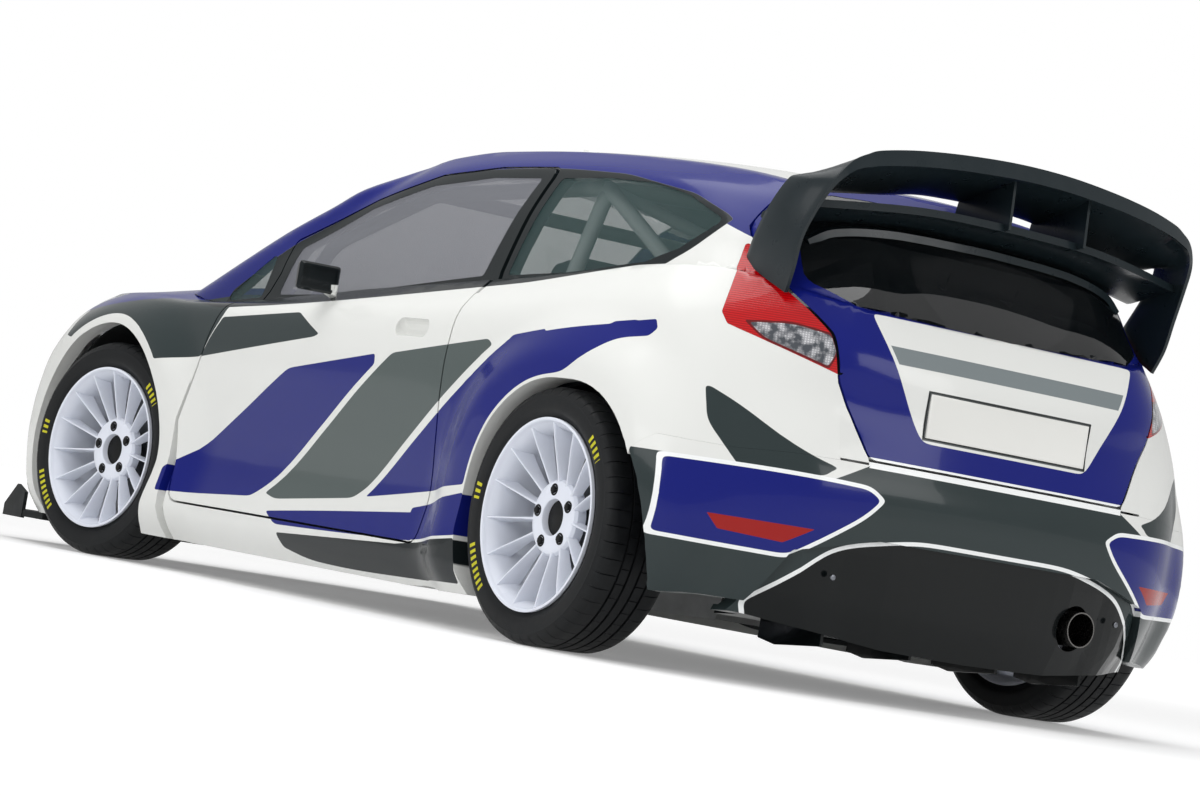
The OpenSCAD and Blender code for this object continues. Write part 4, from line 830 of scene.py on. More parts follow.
def lens(name, colour, rough=0.08, alpha=0.6):
    """Coloured lamp plastic with fine ribs on its inside."""
    mat, n, shader, coords = start_material(name)
    split = n.add("ShaderNodeSeparateXYZ")
    n.link(coords, split.inputs[0])
    ribs = n.math("SINE", n.math("MULTIPLY", split.outputs[2], 900.0))
    n.link(n.bump(ribs, 0.12, 0.0006), shader.inputs["Normal"])
    n.link(n.mix(n.ramp(ribs, -1, 1), tuple(c * 0.85 for c in colour), colour), shader.inputs["Base Color"])
    n.link(n.ramp(n.noise(coords, 60.0), 0.3, 0.7, rough, rough + 0.04), shader.inputs["Roughness"])
    n.link(n.ramp(n.noise(coords, 8.0), 0.3, 0.7, alpha - 0.03, alpha + 0.03), shader.inputs["Alpha"])
    shader.inputs["Coat Weight"].default_value = 0.8
    shader.inputs["Coat Roughness"].default_value = 0.03
    return mat


def roof_paint(looks):
    """White roof with a slight change of tone."""
    mat, n, shader, coords = start_material("roof_paint")
    tone = n.ramp(n.noise(coords, 2.0), 0.3, 0.7, 0.0, 1.0)
    colour = n.mix(tone, tuple(c * 0.97 for c in looks.white[:]), looks.white[:])
    paint_finish(n, shader, coords, colour, dust=0.1)
    return mat


def tyre_rubber(looks):
    """Black rubber, greyer where it is scuffed."""
    mat, n, shader, coords = start_material("tyre_rubber")
    d = group_node(n, "Road dust", coords, Amount=0.04)
    scuff = n.ramp(n.noise(coords, 30.0, 6.0, 0.65), 0.45, 0.75)
    colour = n.mix(scuff, srgb(15, 17, 19), srgb(26, 28, 30))
    n.link(n.mix(d.outputs["Dust"], colour, srgb(84, 80, 74)), shader.inputs["Base Color"])
    n.link(n.ramp(scuff, 0.0, 1.0, 0.5, 0.68), shader.inputs["Roughness"])
    n.link(n.bump(n.noise(coords, 600.0, 3.0), 0.25, 0.0005), shader.inputs["Normal"])
    shader.inputs["Specular IOR Level"].default_value = 0.2
    return mat


def chrome(name, colour, rough):
    """Bright metal with fine marks."""
    mat, n, shader, coords = start_material(name)
    marks = n.noise(coords, 300.0, 4.0)
    n.link(n.mix(n.ramp(marks, 0.3, 0.7), tuple(c * 0.9 for c in colour), colour), shader.inputs["Base Color"])
    n.link(n.ramp(marks, 0.3, 0.7, rough, rough + 0.1), shader.inputs["Roughness"])
    n.link(n.bump(marks, 0.05, 0.0004), shader.inputs["Normal"])
    shader.inputs["Metallic"].default_value = 1.0
    return mat


def seat_fabric(name, colour):
    """Woven seat cloth with a soft sheen."""
    mat, n, shader, coords = start_material(name)
    w = group_node(n, "Twill weave", coords, Scale=420.0)
    fuzz = n.noise(coords, 500.0, 4.0)
    base = n.mix(w.outputs[0], tuple(c * 0.7 for c in colour), tuple(min(1, c * 1.4) for c in colour))
    n.link(base, shader.inputs["Base Color"])
    n.link(n.ramp(fuzz, 0.3, 0.7, 0.8, 0.95), shader.inputs["Roughness"])
    n.link(n.bump(n.math("ADD", w.outputs[0], fuzz), 0.35, 0.0006), shader.inputs["Normal"])
    shader.inputs["Sheen Weight"].default_value = 0.25
    return mat


def webbing(name, colour):
    """Harness strap: ribbed along its length."""
    mat, n, shader, coords = start_material(name)
    split = n.add("ShaderNodeSeparateXYZ")
    n.link(coords, split.inputs[0])
    ribs = n.math("SINE", n.math("MULTIPLY", split.outputs[1], 3200.0))
    n.link(n.mix(n.ramp(ribs, -1, 1), tuple(c * 0.75 for c in colour), colour), shader.inputs["Base Color"])
    n.link(n.bump(n.math("ADD", ribs, n.noise(coords, 700.0)), 0.3, 0.0005), shader.inputs["Normal"])
    n.link(n.ramp(n.noise(coords, 60.0), 0.3, 0.7, 0.6, 0.75), shader.inputs["Roughness"])
    return mat


FINISHES = {
    "side_paint": lambda looks, sizes: side_paint(looks),
    "tail_paint": lambda looks, sizes: tail_paint(looks, sizes.stripe),
    "bumper_paint": lambda looks, sizes: bumper_paint(looks, sizes.stripe),
    "diffuser_paint": lambda looks, sizes: diffuser_paint(looks, sizes.stripe),
    "mirror_paint": lambda looks, sizes: mirror_paint(looks),
    "roof_paint": lambda looks, sizes: roof_paint(looks),
    "white_paint": lambda looks, sizes: plain_paint("white_paint", looks.white[:]),
    "blue_paint": lambda looks, sizes: plain_paint("blue_paint", looks.blue[:]),
    "shell_paint": lambda *_: satin("shell_paint", srgb(196, 198, 198), rough=0.5),
    "cage_paint": lambda *_: satin("cage_paint", srgb(222, 232, 230), rough=0.4, dust=0.0, mottle=0.03),
    "black_plastic": lambda *_: satin("black_plastic", srgb(24, 28, 30), rough=0.5),
    "liner_plastic": lambda *_: satin("liner_plastic", srgb(18, 20, 21), rough=0.8, grain=0.3),
    "trim_white": lambda looks, sizes: plain_paint("trim_white", srgb(238, 240, 240)),
    "wing_black": lambda *_: satin("wing_black", srgb(26, 35, 39), rough=0.32, grain=0.0,
                                             dust=0.0, coat=0.15, mottle=0.04),
    "rim_paint": lambda looks, sizes: plain_paint("rim_paint", looks.rim[:], gloss=0.22, dust=0.03),
    "tyre_rubber": lambda looks, sizes: tyre_rubber(looks),
    "tyre_mark": lambda looks, _: satin("tyre_mark", looks.marking[:], rough=0.6, dust=0.0),
    "cast_metal": lambda *_: satin("cast_metal", srgb(128, 130, 132), rough=0.45, grain=0.25,
                                             metallic=0.7),
    "chassis_steel": lambda *_: satin("chassis_steel", srgb(70, 73, 76), rough=0.5, metallic=0.4),
    "bolt_steel": lambda *_: chrome("bolt_steel", srgb(120, 122, 128), 0.25),
    # Near-black satin: painted shade in the centre bore, and the colour of the bolt seats and nuts.
    "dark_bore": lambda *_: satin("dark_bore", srgb(16, 17, 18), rough=0.6),
    "pipe_steel": lambda *_: chrome("pipe_steel", srgb(120, 118, 116), 0.22),
    # The door glass's pale grey, fairly opaque sheet is a painted reflection of the bright room, not a tint.
    "door_glass": lambda *_: glass("door_glass", srgb(118, 120, 128), alpha=0.62),
    "side_glass": lambda *_: glass("side_glass", srgb(46, 76, 76), alpha=0.34),
    "rear_glass": lambda *_: glass("rear_glass", srgb(14, 17, 19), alpha=0.88),
    "red_lens": lambda looks, sizes: tail_lens("red_lens"),
    "head_lens": lambda *_: lens("head_lens", srgb(190, 200, 208), alpha=0.65),
    "seat_cloth": lambda looks, sizes: seat_fabric("seat_cloth", srgb(52, 58, 66)),
    "strap_blue": lambda looks, sizes: webbing("strap_blue", srgb(40, 60, 140)),
    "wheel_grip": lambda *_: satin("wheel_grip", srgb(36, 36, 38), rough=0.85, grain=0.5, dust=0.0),
    "dash_plastic": lambda *_: satin("dash_plastic", srgb(46, 49, 52), rough=0.7, grain=0.4, dust=0.0),
    "plate_white": lambda looks, sizes: plain_paint("plate_white", srgb(226, 226, 222), gloss=0.3, dust=0.0),
}
MADE = {}


def finish(name):
    """The material of that name, built the first time that it is asked for."""
    if "Road dust" not in bpy.data.node_groups:
        side_paint_group()
        tail_paint_group()
        dust_group()
        weave_group()
    if name not in MADE:
        scene = bpy.context.scene
        MADE[name] = FINISHES[name](scene.rally_colours, scene.rally_sizes)
    return MADE[name]


def tail_lens(name):
    """Red lamp plastic with a clear lower band, where the reflector behind is painted on: grey and white cells with
    patches of painted reflection.
    """
    mat, n, shader, coords = start_material(name)
    split = n.add("ShaderNodeSeparateXYZ")
    n.link(coords, split.inputs[0])
    a = math.radians(33.7)
    across = n.math("ADD", n.math("MULTIPLY", split.outputs[0], math.sin(a)),
                    n.math("MULTIPLY", n.math("ABSOLUTE", split.outputs[1]), math.cos(a)))
    flat = n.add("ShaderNodeCombineXYZ")
    n.link(n.math("MULTIPLY", across, 1000.0), flat.inputs[0])
    n.link(n.math("MULTIPLY", split.outputs[2], 1000.0), flat.inputs[1])
    flat.inputs[2].default_value = 1.0
    depth = edge_distance(n, flat.outputs[0], TAIL_CLEAR, 12.0)
    clear = inside(n, depth)
    rim = n.math("SUBTRACT", inside(n, n.math("ADD", depth, 5.0)), clear)
    ribs = n.math("SINE", n.math("MULTIPLY", split.outputs[2], 1100.0))
    columns = n.math("SINE", n.math("MULTIPLY", across, 900.0))
    cells = n.math("MULTIPLY", n.ramp(ribs, -1, 1), n.ramp(columns, -1, 1))
    # Painted reflection: noise turns patches of the reflector's cells from dark grey to bright, in place of what the
    # reflector mirrors.
    painted_reflection = n.ramp(n.noise(coords, 34.0, 3.0), 0.42, 0.6)
    red = n.mix(n.ramp(ribs, -1, 1), srgb(150, 3, 8), srgb(196, 10, 18))
    white = n.mix(painted_reflection, srgb(70, 74, 80), n.mix(cells, srgb(160, 160, 164), srgb(222, 222, 224)))
    colour = n.mix(clear, red, white)
    n.link(n.mix(rim, colour, srgb(96, 8, 12)), shader.inputs["Base Color"])
    n.link(n.bump(n.math("ADD", ribs, cells), 0.1, 0.0006), shader.inputs["Normal"])
    n.link(n.ramp(n.noise(coords, 60.0), 0.3, 0.7, 0.08, 0.13), shader.inputs["Roughness"])
    shader.inputs["Specular IOR Level"].default_value = 0.3
    shader.inputs["Coat Weight"].default_value = 0.4
    shader.inputs["Coat Roughness"].default_value = 0.03
    return mat


TAIL_CLEAR = [[-395, 868], [-437, 835], [-600, 790], [-615, 826], [-596, 866], [-500, 880]]


# Modelling helpers

def add_block(name, low, high, bevel=0.003, segments=3):
    """A block between two corners, with rounded edges."""
    bpy.ops.object.select_all(action="DESELECT")
    middle = [(a + b) / 2 for a, b in zip(low, high)]
    bpy.ops.mesh.primitive_cube_add(size=1, location=middle, scale=[b - a for a, b in zip(low, high)])
    ob = bpy.context.view_layer.objects.active
    ob.name = ob.data.name = name
    settle(ob)
    if bevel:
        mod = ob.modifiers.new("edges", "BEVEL")
        mod.width, mod.segments, mod.limit_method = bevel, segments, "NONE"
        apply_modifiers(ob)
    shade(ob, 40)
    return ob


def add_rod(name, a, b, r, r_end=None, sides=32, bevel=0.0):
    """A round rod or cone between two points."""
    a, b = Vector(a), Vector(b)
    turn = (b - a).to_track_quat("Z", "Y").to_euler()
    bpy.ops.object.select_all(action="DESELECT")
    bpy.ops.mesh.primitive_cone_add(vertices=sides, radius1=r, radius2=r if r_end is None else r_end,
                                    depth=(b - a).length, location=(a + b) / 2, rotation=turn)
    ob = bpy.context.view_layer.objects.active
    ob.name = ob.data.name = name
    settle(ob)
    if bevel:
        mod = ob.modifiers.new("edges", "BEVEL")
        mod.width, mod.segments, mod.limit_method, mod.angle_limit = bevel, 3, "ANGLE", math.radians(50)
        apply_modifiers(ob)
    shade(ob, 40)
    return ob


def spin_profile(name, profile, steps=96, start=0.0, sweep=360.0, smooth=32):
    """A profile of (radius, height) points spun about the Z axis; a whole turn comes out closed."""
    s, c = math.sin(math.radians(start)), math.cos(math.radians(start))
    mesh = bpy.data.meshes.new(name)
    points = [(r * MM * c, r * MM * s, h * MM) for r, h in profile]
    mesh.from_pydata(points, [(i, (i + 1) % len(points)) for i in range(len(points))], [])
    ob = bpy.data.objects.new(name, mesh)
    bpy.context.scene.collection.objects.link(ob)
    select_only(ob)
    bpy.ops.object.mode_set(mode="EDIT")
    bpy.ops.mesh.select_all(action="SELECT")
    bpy.ops.mesh.spin(steps=steps, angle=math.radians(sweep), center=(0, 0, 0), axis=(0, 0, 1))
    bpy.ops.object.mode_set(mode="OBJECT")
    tidy_normals(ob)
    shade(ob, smooth)
    return ob


def tube_along(name, points, r, sides=12, closed=False, bend=True):
    """A round tube through a list of points, smooth at its bends."""
    curve = bpy.data.curves.new(name, "CURVE")
    curve.dimensions = "3D"
    curve.bevel_depth = r
    curve.bevel_resolution = max(1, sides // 4)
    curve.resolution_u = 6
    curve.use_fill_caps = True
    spline = curve.splines.new("BEZIER" if bend else "POLY")
    if bend:
        spline.bezier_points.add(len(points) - 1)
        for bp, p in zip(spline.bezier_points, points):
            bp.co = p
            bp.handle_left_type = bp.handle_right_type = "AUTO"
    else:
        spline.points.add(len(points) - 1)
        for sp, p in zip(spline.points, points):
            sp.co = (*p, 1)
    spline.use_cyclic_u = closed
    ob = bpy.data.objects.new(name, curve)
    bpy.context.scene.collection.objects.link(ob)
    select_only(ob)
    bpy.ops.object.convert(target="MESH")
    tidy_normals(ob)
    shade(ob, 40)
    return ob


def bent_points(points, radius=0.06, steps=5):
    """A polyline whose corners are turned into short arcs."""
    pts = [Vector(p) for p in points]
    out = [pts[0]]
    for a, b, c in zip(pts, pts[1:], pts[2:]):
        r = min(radius, (a - b).length * 0.45, (c - b).length * 0.45)
        p, q = b + (a - b).normalized() * r, b + (c - b).normalized() * r
        for k in range(steps + 1):
            t = k / steps
            out.append(p * (1 - t) ** 2 + b * 2 * t * (1 - t) + q * t * t)
    return out + [pts[-1]]


def loft(name, sections, smooth=30, caps=True):
    """A closed skin over rings of points, each ring with the same number of points."""
    n = len(sections[0])
    verts = [p for s in sections for p in s]
    faces = [(i * n + k, i * n + (k + 1) % n, (i + 1) * n + (k + 1) % n, (i + 1) * n + k)
             for i in range(len(sections) - 1) for k in range(n)]
    if caps:
        faces += [tuple(range(n)), tuple(range((len(sections) - 1) * n, len(sections) * n))]
    ob = new_object(name, verts, faces)
    tidy_normals(ob)
    shade(ob, smooth)
    return ob


def mirrored_copy(ob, name):
    """The same piece on the car's other side."""
    twin = ob.copy()
    twin.data = ob.data.copy()
    twin.name = twin.data.name = name
    bpy.context.scene.collection.objects.link(twin)
    twin.data.transform(Matrix.Diagonal((1, -1, 1, 1)))
    twin.data.flip_normals()
    return twin


def turned_copy(ob, name, matrix):
    twin = ob.copy()
    twin.data = ob.data.copy()
    twin.name = twin.data.name = name
    bpy.context.scene.collection.objects.link(twin)
    twin.data.transform(matrix)
    return twin


def dress(look, *nodes):
    for node in nodes:
        dress_node(node, finish(look))


PANELS = (
    ("roof", "car", "body_paint", "roof_paint"),
    ("side_frame_left", "car", "body_paint", "side_paint"),
    ("side_frame_right", "car", "body_paint", "side_paint"),
    ("front_wing_left", "car", "body_paint", "side_paint"),
    ("front_wing_right", "car", "body_paint", "side_paint"),
    ("front_bumper", "car", "body_paint", "side_paint"),
    ("rear_bumper", "car", "body_paint", "bumper_paint"),
    ("diffuser", "car", "dark_plastic", "diffuser_paint"),
)


def build_panel(node, body, look, depth=0.003):
    piece = smooth_panel(node, node + "_panel", depth=depth)
    return finish_piece(piece, body, finish(look), [node])


# Heights and half widths of the tailgate's lower corner and of the narrow strip beside the tail lamp.
CORNER_EDGE = ((577, 413, 492.5), (590, 416, 492.5), (600, 425, 492.5), (620, 436, 492.5), (650, 452, 492.5),
               (680, 467, 492.5), (702, 480, 492.5))
LAMP_EDGE = ((780, 497, 506.5), (795, 500, 509), (810, 505, 512), (825, 509, 515), (840, 512, 517.5),
             (855, 512.7, 520), (870, 513.3, 523), (885, 519, 532.5), (900, 528, 543), (915, 537, 553.5),
             (930, 545, 564), (945, 553, 574), (960, 560, 583.5), (975, 561, 587.5), (990, 570, 588.5),
             (1005, 579, 589), (1016, 586, 589.5))


SCREWS = ((458, 290), (-467, 290))


def skin_point(y, z, lift):
    """Point of the smooth tail surface at a place across and above the ground, moved outward by lift."""
    start = Vector((-3, y * MM, z * MM))
    hits = [tree.ray_cast(start, Vector((1, 0, 0)))[0] for tree, _, _ in skin.smooth]
    return min((h for h in hits if h), key=lambda h: h.x) - Vector((lift * MM, 0, 0))


def skin_strip(name, rows, lift=0.0, across=8, thick=2.0):
    """A thin patch of the tail surface between two edges, given as rows of height, near and far side."""
    rings = []
    for z, near, far in rows:
        edge = [skin_point(near + (far - near) * k / across, z, lift) for k in range(across + 1)]
        rings.append(edge + [p + Vector((thick * MM, 0, 0)) for p in reversed(edge)])
    return loft(name, rings, 30)


def finer(rows, n):
    z = np.linspace(rows[0][0], rows[-1][0], n)
    return [[h] + [float(np.interp(h, [r[0] for r in rows], [r[k] for r in rows])) for k in (1, 2)] for h in z]


class RALLY_OT_body(bpy.types.Operator):
    """Lays the fixed body panels on the smooth body surface and paints them"""
    bl_idname = "rally.body"
    bl_label = "Body panels"

    def execute(self, context):
        for node, body, slot, look in PANELS:
            build_panel(node, body, look)
        dress("white_paint", "rear_panel")
        corner = skin_strip("tail_corner_left", finer(CORNER_EDGE, 14), 0.15)
        other = mirrored_copy(corner, "tail_corner_right")
        trim = skin_strip("bumper_top_line", [(z, -412, 412) for z in (571, 573, 576, 579.3)], -0.2, 48)
        finish_piece(corner, "car", finish("white_paint"))
        finish_piece(other, "car", finish("white_paint"))
        finish_piece(trim, "car", finish("trim_white"))
        screws = []
        for y, z in SCREWS:
            head = skin_point(y, z, 0)
            screws.append(add_rod("screw", head + Vector((0.002, 0, 0)), head - Vector((0.004, 0, 0)), 0.008, 0.007,
                                  24, 0.001))
        finish_piece(join("diffuser_screws", *screws), "car", finish("bolt_steel"))
        return {"FINISHED"}


class RALLY_OT_bonnet(bpy.types.Operator):
    """Makes the bonnet"""
    bl_idname = "rally.bonnet"
    bl_label = "Bonnet"

    def execute(self, context):
        build_panel("bonnet", "bonnet", "blue_paint")
        return {"FINISHED"}


class RALLY_OT_doors(bpy.types.Operator):
    """Makes both doors with their handles"""
    bl_idname = "rally.doors"
    bl_label = "Doors"

    def execute(self, context):
        for side in ("left", "right"):
            build_panel("door_" + side, "door_" + side, "side_paint")
        return {"FINISHED"}


PLATE_HINGE = (-1.951, 0, 0.658)
PLATE_LOW, PLATE_HIGH = (-1.9535, -0.258, 0.662), (-1.9465, 0.258, 0.770)


class RALLY_OT_tailgate(bpy.types.Operator):
    """Makes the tailgate with its blank plate"""
    bl_idname = "rally.tailgate"
    bl_label = "Tailgate"

    def execute(self, context):
        build_panel("tailgate", "tailgate", "tail_paint")
        strip = skin_strip("tailgate_edge_left", finer(LAMP_EDGE, 34), -0.3, 4)
        other = mirrored_copy(strip, "tailgate_edge_right")
        for ob in (strip, other):
            finish_piece(ob, "tailgate", finish("tail_paint"))
        plate = add_block("blank_plate", PLATE_LOW, PLATE_HIGH, 0.0012, 2)
        select_only(plate)
        bpy.ops.object.mode_set(mode="EDIT")
        bpy.ops.mesh.select_all(action="DESELECT")
        bpy.ops.object.mode_set(mode="OBJECT")
        rear = min(plate.data.polygons, key=lambda f: (round(f.normal.x, 3), -f.area))
        rear.select = True
        bpy.ops.object.mode_set(mode="EDIT")
        bpy.ops.mesh.inset(thickness=0.006, depth=-0.0012)
        bpy.ops.object.mode_set(mode="OBJECT")
        plate.data.transform(Matrix.Translation(PLATE_HINGE) @ Matrix.Rotation(math.radians(1), 4, "Y")
                             @ Matrix.Translation(-Vector(PLATE_HINGE)))
        finish_piece(plate, "tailgate", finish("plate_white"))
        return {"FINISHED"}


class RALLY_OT_glass(bpy.types.Operator):
    """Makes the window glass"""
    bl_idname = "rally.glass"
    bl_label = "Glass"

    def execute(self, context):
        for node, body, look in (("fixed_glass", "car", "side_glass"), ("rear_glass", "tailgate", "rear_glass"),
                                 ("door_glass_left", "door_left", "door_glass"),
                                 ("door_glass_right", "door_right", "door_glass")):
            build_panel(node, body, look)
        return {"FINISHED"}


class RALLY_OT_lamps(bpy.types.Operator):
    """Makes the head and tail lamps"""
    bl_idname = "rally.lamps"
    bl_label = "Lamps"

    def execute(self, context):
        ob = smooth_panel("lamps", "lamp_lenses")
        finish_piece(ob, "car", [finish("red_lens"), finish("head_lens")], ["lamps"])
        for face in ob.data.polygons:
            face.material_index = 1 if face.center.x > 0 else 0
        return {"FINISHED"}


class RALLY_OT_inside(bpy.types.Operator):
    """Gives the cabin and the running gear their materials"""
    bl_idname = "rally.inside"
    bl_label = "Cabin and running gear"

    def execute(self, context):
        dress("shell_paint", "floor_pan", "bulkhead")
        dress("dash_plastic", "dashboard")
        dress("cast_metal", "engine", "driveline")
        dress("pipe_steel", "exhaust")
        dress("chassis_steel", "suspension_arms", "front_knuckle_left", "front_knuckle_right")
        dress("wheel_grip", "steering_wheel")
        dress("black_plastic", "grille", "splitter")
        dress("liner_plastic", "wheel_arches")
        dress("mirror_paint", "mirror_left", "mirror_right")
        return {"FINISHED"}


SEAT_Y, SEAT_HALF, SEAT_BASE_TOP = 0.352, 0.165, 0.42
BACK_CHANNELS, BASE_CHANNELS = (0.48, 0.57, 0.66), (-0.26, -0.16, -0.06)


def channel_depth(at, channels):
    """Share of a sewn channel's depth at a place, 1 on its line."""
    return max(math.exp(-((at - c) / 0.010) ** 2) for c in channels)


def padded_seat(side, label):
    """The seat's form, rounded as padding over its shell, with sewn channels across its back and its base."""
    source = frame["nodes"]["seats"].data
    bm = bmesh.new()
    bm.from_mesh(source)
    bmesh.ops.remove_doubles(bm, verts=bm.verts, dist=2e-5)
    bmesh.ops.delete(bm, geom=[v for v in bm.verts if v.co.y * side < 0], context="VERTS")
    mesh = bpy.data.meshes.new("seat")
    bm.to_mesh(mesh)
    bm.free()
    seat = bpy.data.objects.new("seat_%s_padded" % label, mesh)
    bpy.context.scene.collection.objects.link(seat)
    select_only(seat)
    mod = seat.modifiers.new("cells", "REMESH")
    mod.mode, mod.voxel_size = "VOXEL", 0.011
    mod = seat.modifiers.new("soft", "SMOOTH")
    mod.factor, mod.iterations = 0.5, 9
    apply_modifiers(seat)
    for v in seat.data.vertices:
        p, y = v.co, abs(v.co.y) - SEAT_Y
        if abs(y) > SEAT_HALF:
            continue
        crown, fade = 1 - (y / SEAT_HALF) ** 2, min(1, (SEAT_HALF - abs(y)) / 0.03)
        if v.normal.x > 0.5 and p.z > SEAT_BASE_TOP:
            v.co.x += (0.005 * crown - 0.009 * channel_depth(p.z, BACK_CHANNELS)) * fade
        elif v.normal.z > 0.6 and p.z < SEAT_BASE_TOP:
            v.co.z += (0.006 * crown - 0.009 * channel_depth(p.x, BASE_CHANNELS)) * fade
    mod = seat.modifiers.new("finer", "SUBSURF")
    mod.levels = mod.render_levels = 1
    apply_modifiers(seat)
    shade(seat, 60)
    finish_piece(seat, "car", finish("seat_cloth"), ["seats"])
    return seat


def harness(side, label, seat):
    """Two flat shoulder straps and two lap straps that lie on the seat and meet at a round buckle."""
    tree = BVHTree.FromObject(seat, bpy.context.evaluated_depsgraph_get())
    centre = SEAT_Y * side
    parts = []
    for s in (-1, 1):
        top = [Vector((0.1, centre + s * (0.075 - 0.055 * t), 0.90 - 0.44 * t)) for t in np.linspace(0, 1, 24)]
        line = [tree.ray_cast(p, Vector((-1, 0, 0)))[0] for p in top]
        parts.append(strap("strap", [p + Vector((0.004, 0, 0)) for p in line if p], Vector((0, 1, 0)), 0.024))
        lap = [Vector((-0.36, centre + s * (0.03 + 0.13 * t), 0.8)) for t in np.linspace(0, 1, 14)]
        line = [tree.ray_cast(p, Vector((0, 0, -1)))[0] for p in lap]
        parts.append(strap("strap", [p + Vector((0, 0, 0.004)) for p in line if p], Vector((1, 0, 0)), 0.024))
    hit = tree.ray_cast(Vector((0.1, centre, 0.44)), Vector((-1, 0, 0)))[0]
    parts.append(add_rod("buckle", hit + Vector((0.001, 0, 0)), hit + Vector((0.022, 0, 0)), 0.034, 0.030, 24, 0.003))
    straps = join("harness_" + label, *parts)
    finish_piece(straps, "car", finish("strap_blue"))


def strap(name, line, across, half, thick=0.0025):
    rings = []
    for k, p in enumerate(line):
        ahead = line[min(k + 1, len(line) - 1)] - line[max(k - 1, 0)]
        up = ahead.cross(across).normalized() * thick * 0.5
        side = across * half
        rings.append([p - side - up, p + side - up, p + side + up, p - side + up])
    return loft(name, rings, 30)


CAGE_R, CAGE_FOOT = 0.0216, 0.1603
HOOP = ((-0.720, 0.560, 0.900), (-0.720, 0.470, 1.226), (-0.720, 0, 1.256))


def smooth_cage():
    """The roll cage's tubes, bent in smooth curves, with round feet."""
    flip = lambda points: [(x, -y, z) for x, y, z in points]
    runs = []
    main = [(-0.720, 0.600, CAGE_FOOT), HOOP[0], HOOP[1], HOOP[2]]
    runs.append((main + flip(main[:-1])[::-1], CAGE_R))
    front = [HOOP[1], (0.180, 0.455, 1.200), (0.552, 0.552, 1.028), (0.738, 0.572, 0.790), (0.736, 0.572, CAGE_FOOT)]
    back = [HOOP[1], (-1.250, 0.440, 0.900), (-1.250, 0.440, 0.4295)]
    door = [(-0.722, 0.618, 0.548), (0.720, 0.592, 0.430)]
    for points, r in ((front, CAGE_R), (back, CAGE_R), (door, 0.0178)):
        runs += [(points, r), (flip(points), r)]
    runs.append(([(0.180, 0.455, 1.200), (0.180, -0.455, 1.200)], CAGE_R))
    runs.append(([HOOP[1], (-1.250, -0.440, 0.900)], 0.0178))
    runs.append(([(HOOP[1][0], -HOOP[1][1], HOOP[1][2]), (-1.250, 0.440, 0.900)], 0.0178))
    runs.append(([(-0.721, -0.590, 0.600), (-0.721, 0.590, 0.600)], CAGE_R))
    tubes = [tube_along("tube", bent_points(points, 0.05), r, 20, bend=False) for points, r in runs]
    return join("roll_cage_smooth", *tubes)


class RALLY_OT_cabin(bpy.types.Operator):
    """Makes the roll cage, the padded seats and their harnesses"""
    bl_idname = "rally.cabin"
    bl_label = "Cage and seats"

    def execute(self, context):
        finish_piece(smooth_cage(), "car", finish("cage_paint"), ["roll_cage"])
        for side, label in ((1, "left"), (-1, "right")):
            harness(side, label, padded_seat(side, label))
        return {"FINISHED"}


RIM_PROFILE = [
    (245, 111.6), (243, 112.4), (239, 112.2), (236.5, 110), (235, 105), (232, 99), (226, 90), (220, 70),
    (216, 30), (214, -20), (213, -70), (216, -88), (224, -100), (236, -110), (240, -111.6), (245, -111.6),
    (245, -103), (240, -101), (232, -96), (224, -84), (221, -60), (221, 20), (224, 62), (230, 84), (238, 96),
    (242, 101), (245, 102.6)]
HUB_PROFILE = [
    (46, 56), (47, 58.5), (50, 60), (84, 59), (92, 56), (98, 48), (98, 24), (74, 20), (31, 22), (31, 36), (46, 38)]
BORE_PROFILE = [(30.4, 37), (30.4, 33), (20, 40), (0.2, 42), (0.2, 47), (20, 46), (36, 41), (45.8, 40), (45.8, 37)]
SPOKE_SECTIONS = ((62, 57, 24, 8.5, 19), (92, 58.5, 24, 6.5, 16), (124, 68, 30, 5, 12), (160, 80, 40, 4.2, 11),
                  (195, 91, 50, 4.2, 12), (222, 98, 56, 4.6, 15), (234, 102, 58, 6, 20))
BOLT_SEAT_PROFILE = [(15.5, 58.5), (15.5, 60.2), (14.4, 60.8), (10.5, 60.4), (10.5, 58.5)]
BOLT_CIRCLE = 70
MARK_ANGLES = ((32, 48), (166, 175), (199, 227))


def wheel_matrix(place):
    """The wheel's own frame: Z outward along its axle, Y up."""
    spin = next(j for j in frame["joints"] if j["name"] == "wheel_%s_spin" % place)
    out = Vector(spin["axis"]).normalized()
    if place.endswith("right"):
        out = -out
    across = Vector((0, 0, 1)).cross(out).normalized()
    turn = Matrix((across, out.cross(across), out)).transposed().to_4x4()
    return Matrix.Translation(spin["pos_m"]) @ turn


def spoke_ring(radius, front, depth, narrow, wide):
    """One section across a spoke: a narrow rounded ridge over a deeper, wider back."""
    half = [(narrow * 0.3, front), (narrow * 0.5, front - 1.6), (narrow * 0.62, front - 8),
            (wide * 0.42, front - depth * 0.6), (wide * 0.5, front - depth)]
    ring = [(radius, y, z) for y, z in half] + [(radius, -y, z) for y, z in reversed(half)]
    return [Vector(p) * MM for p in ring]


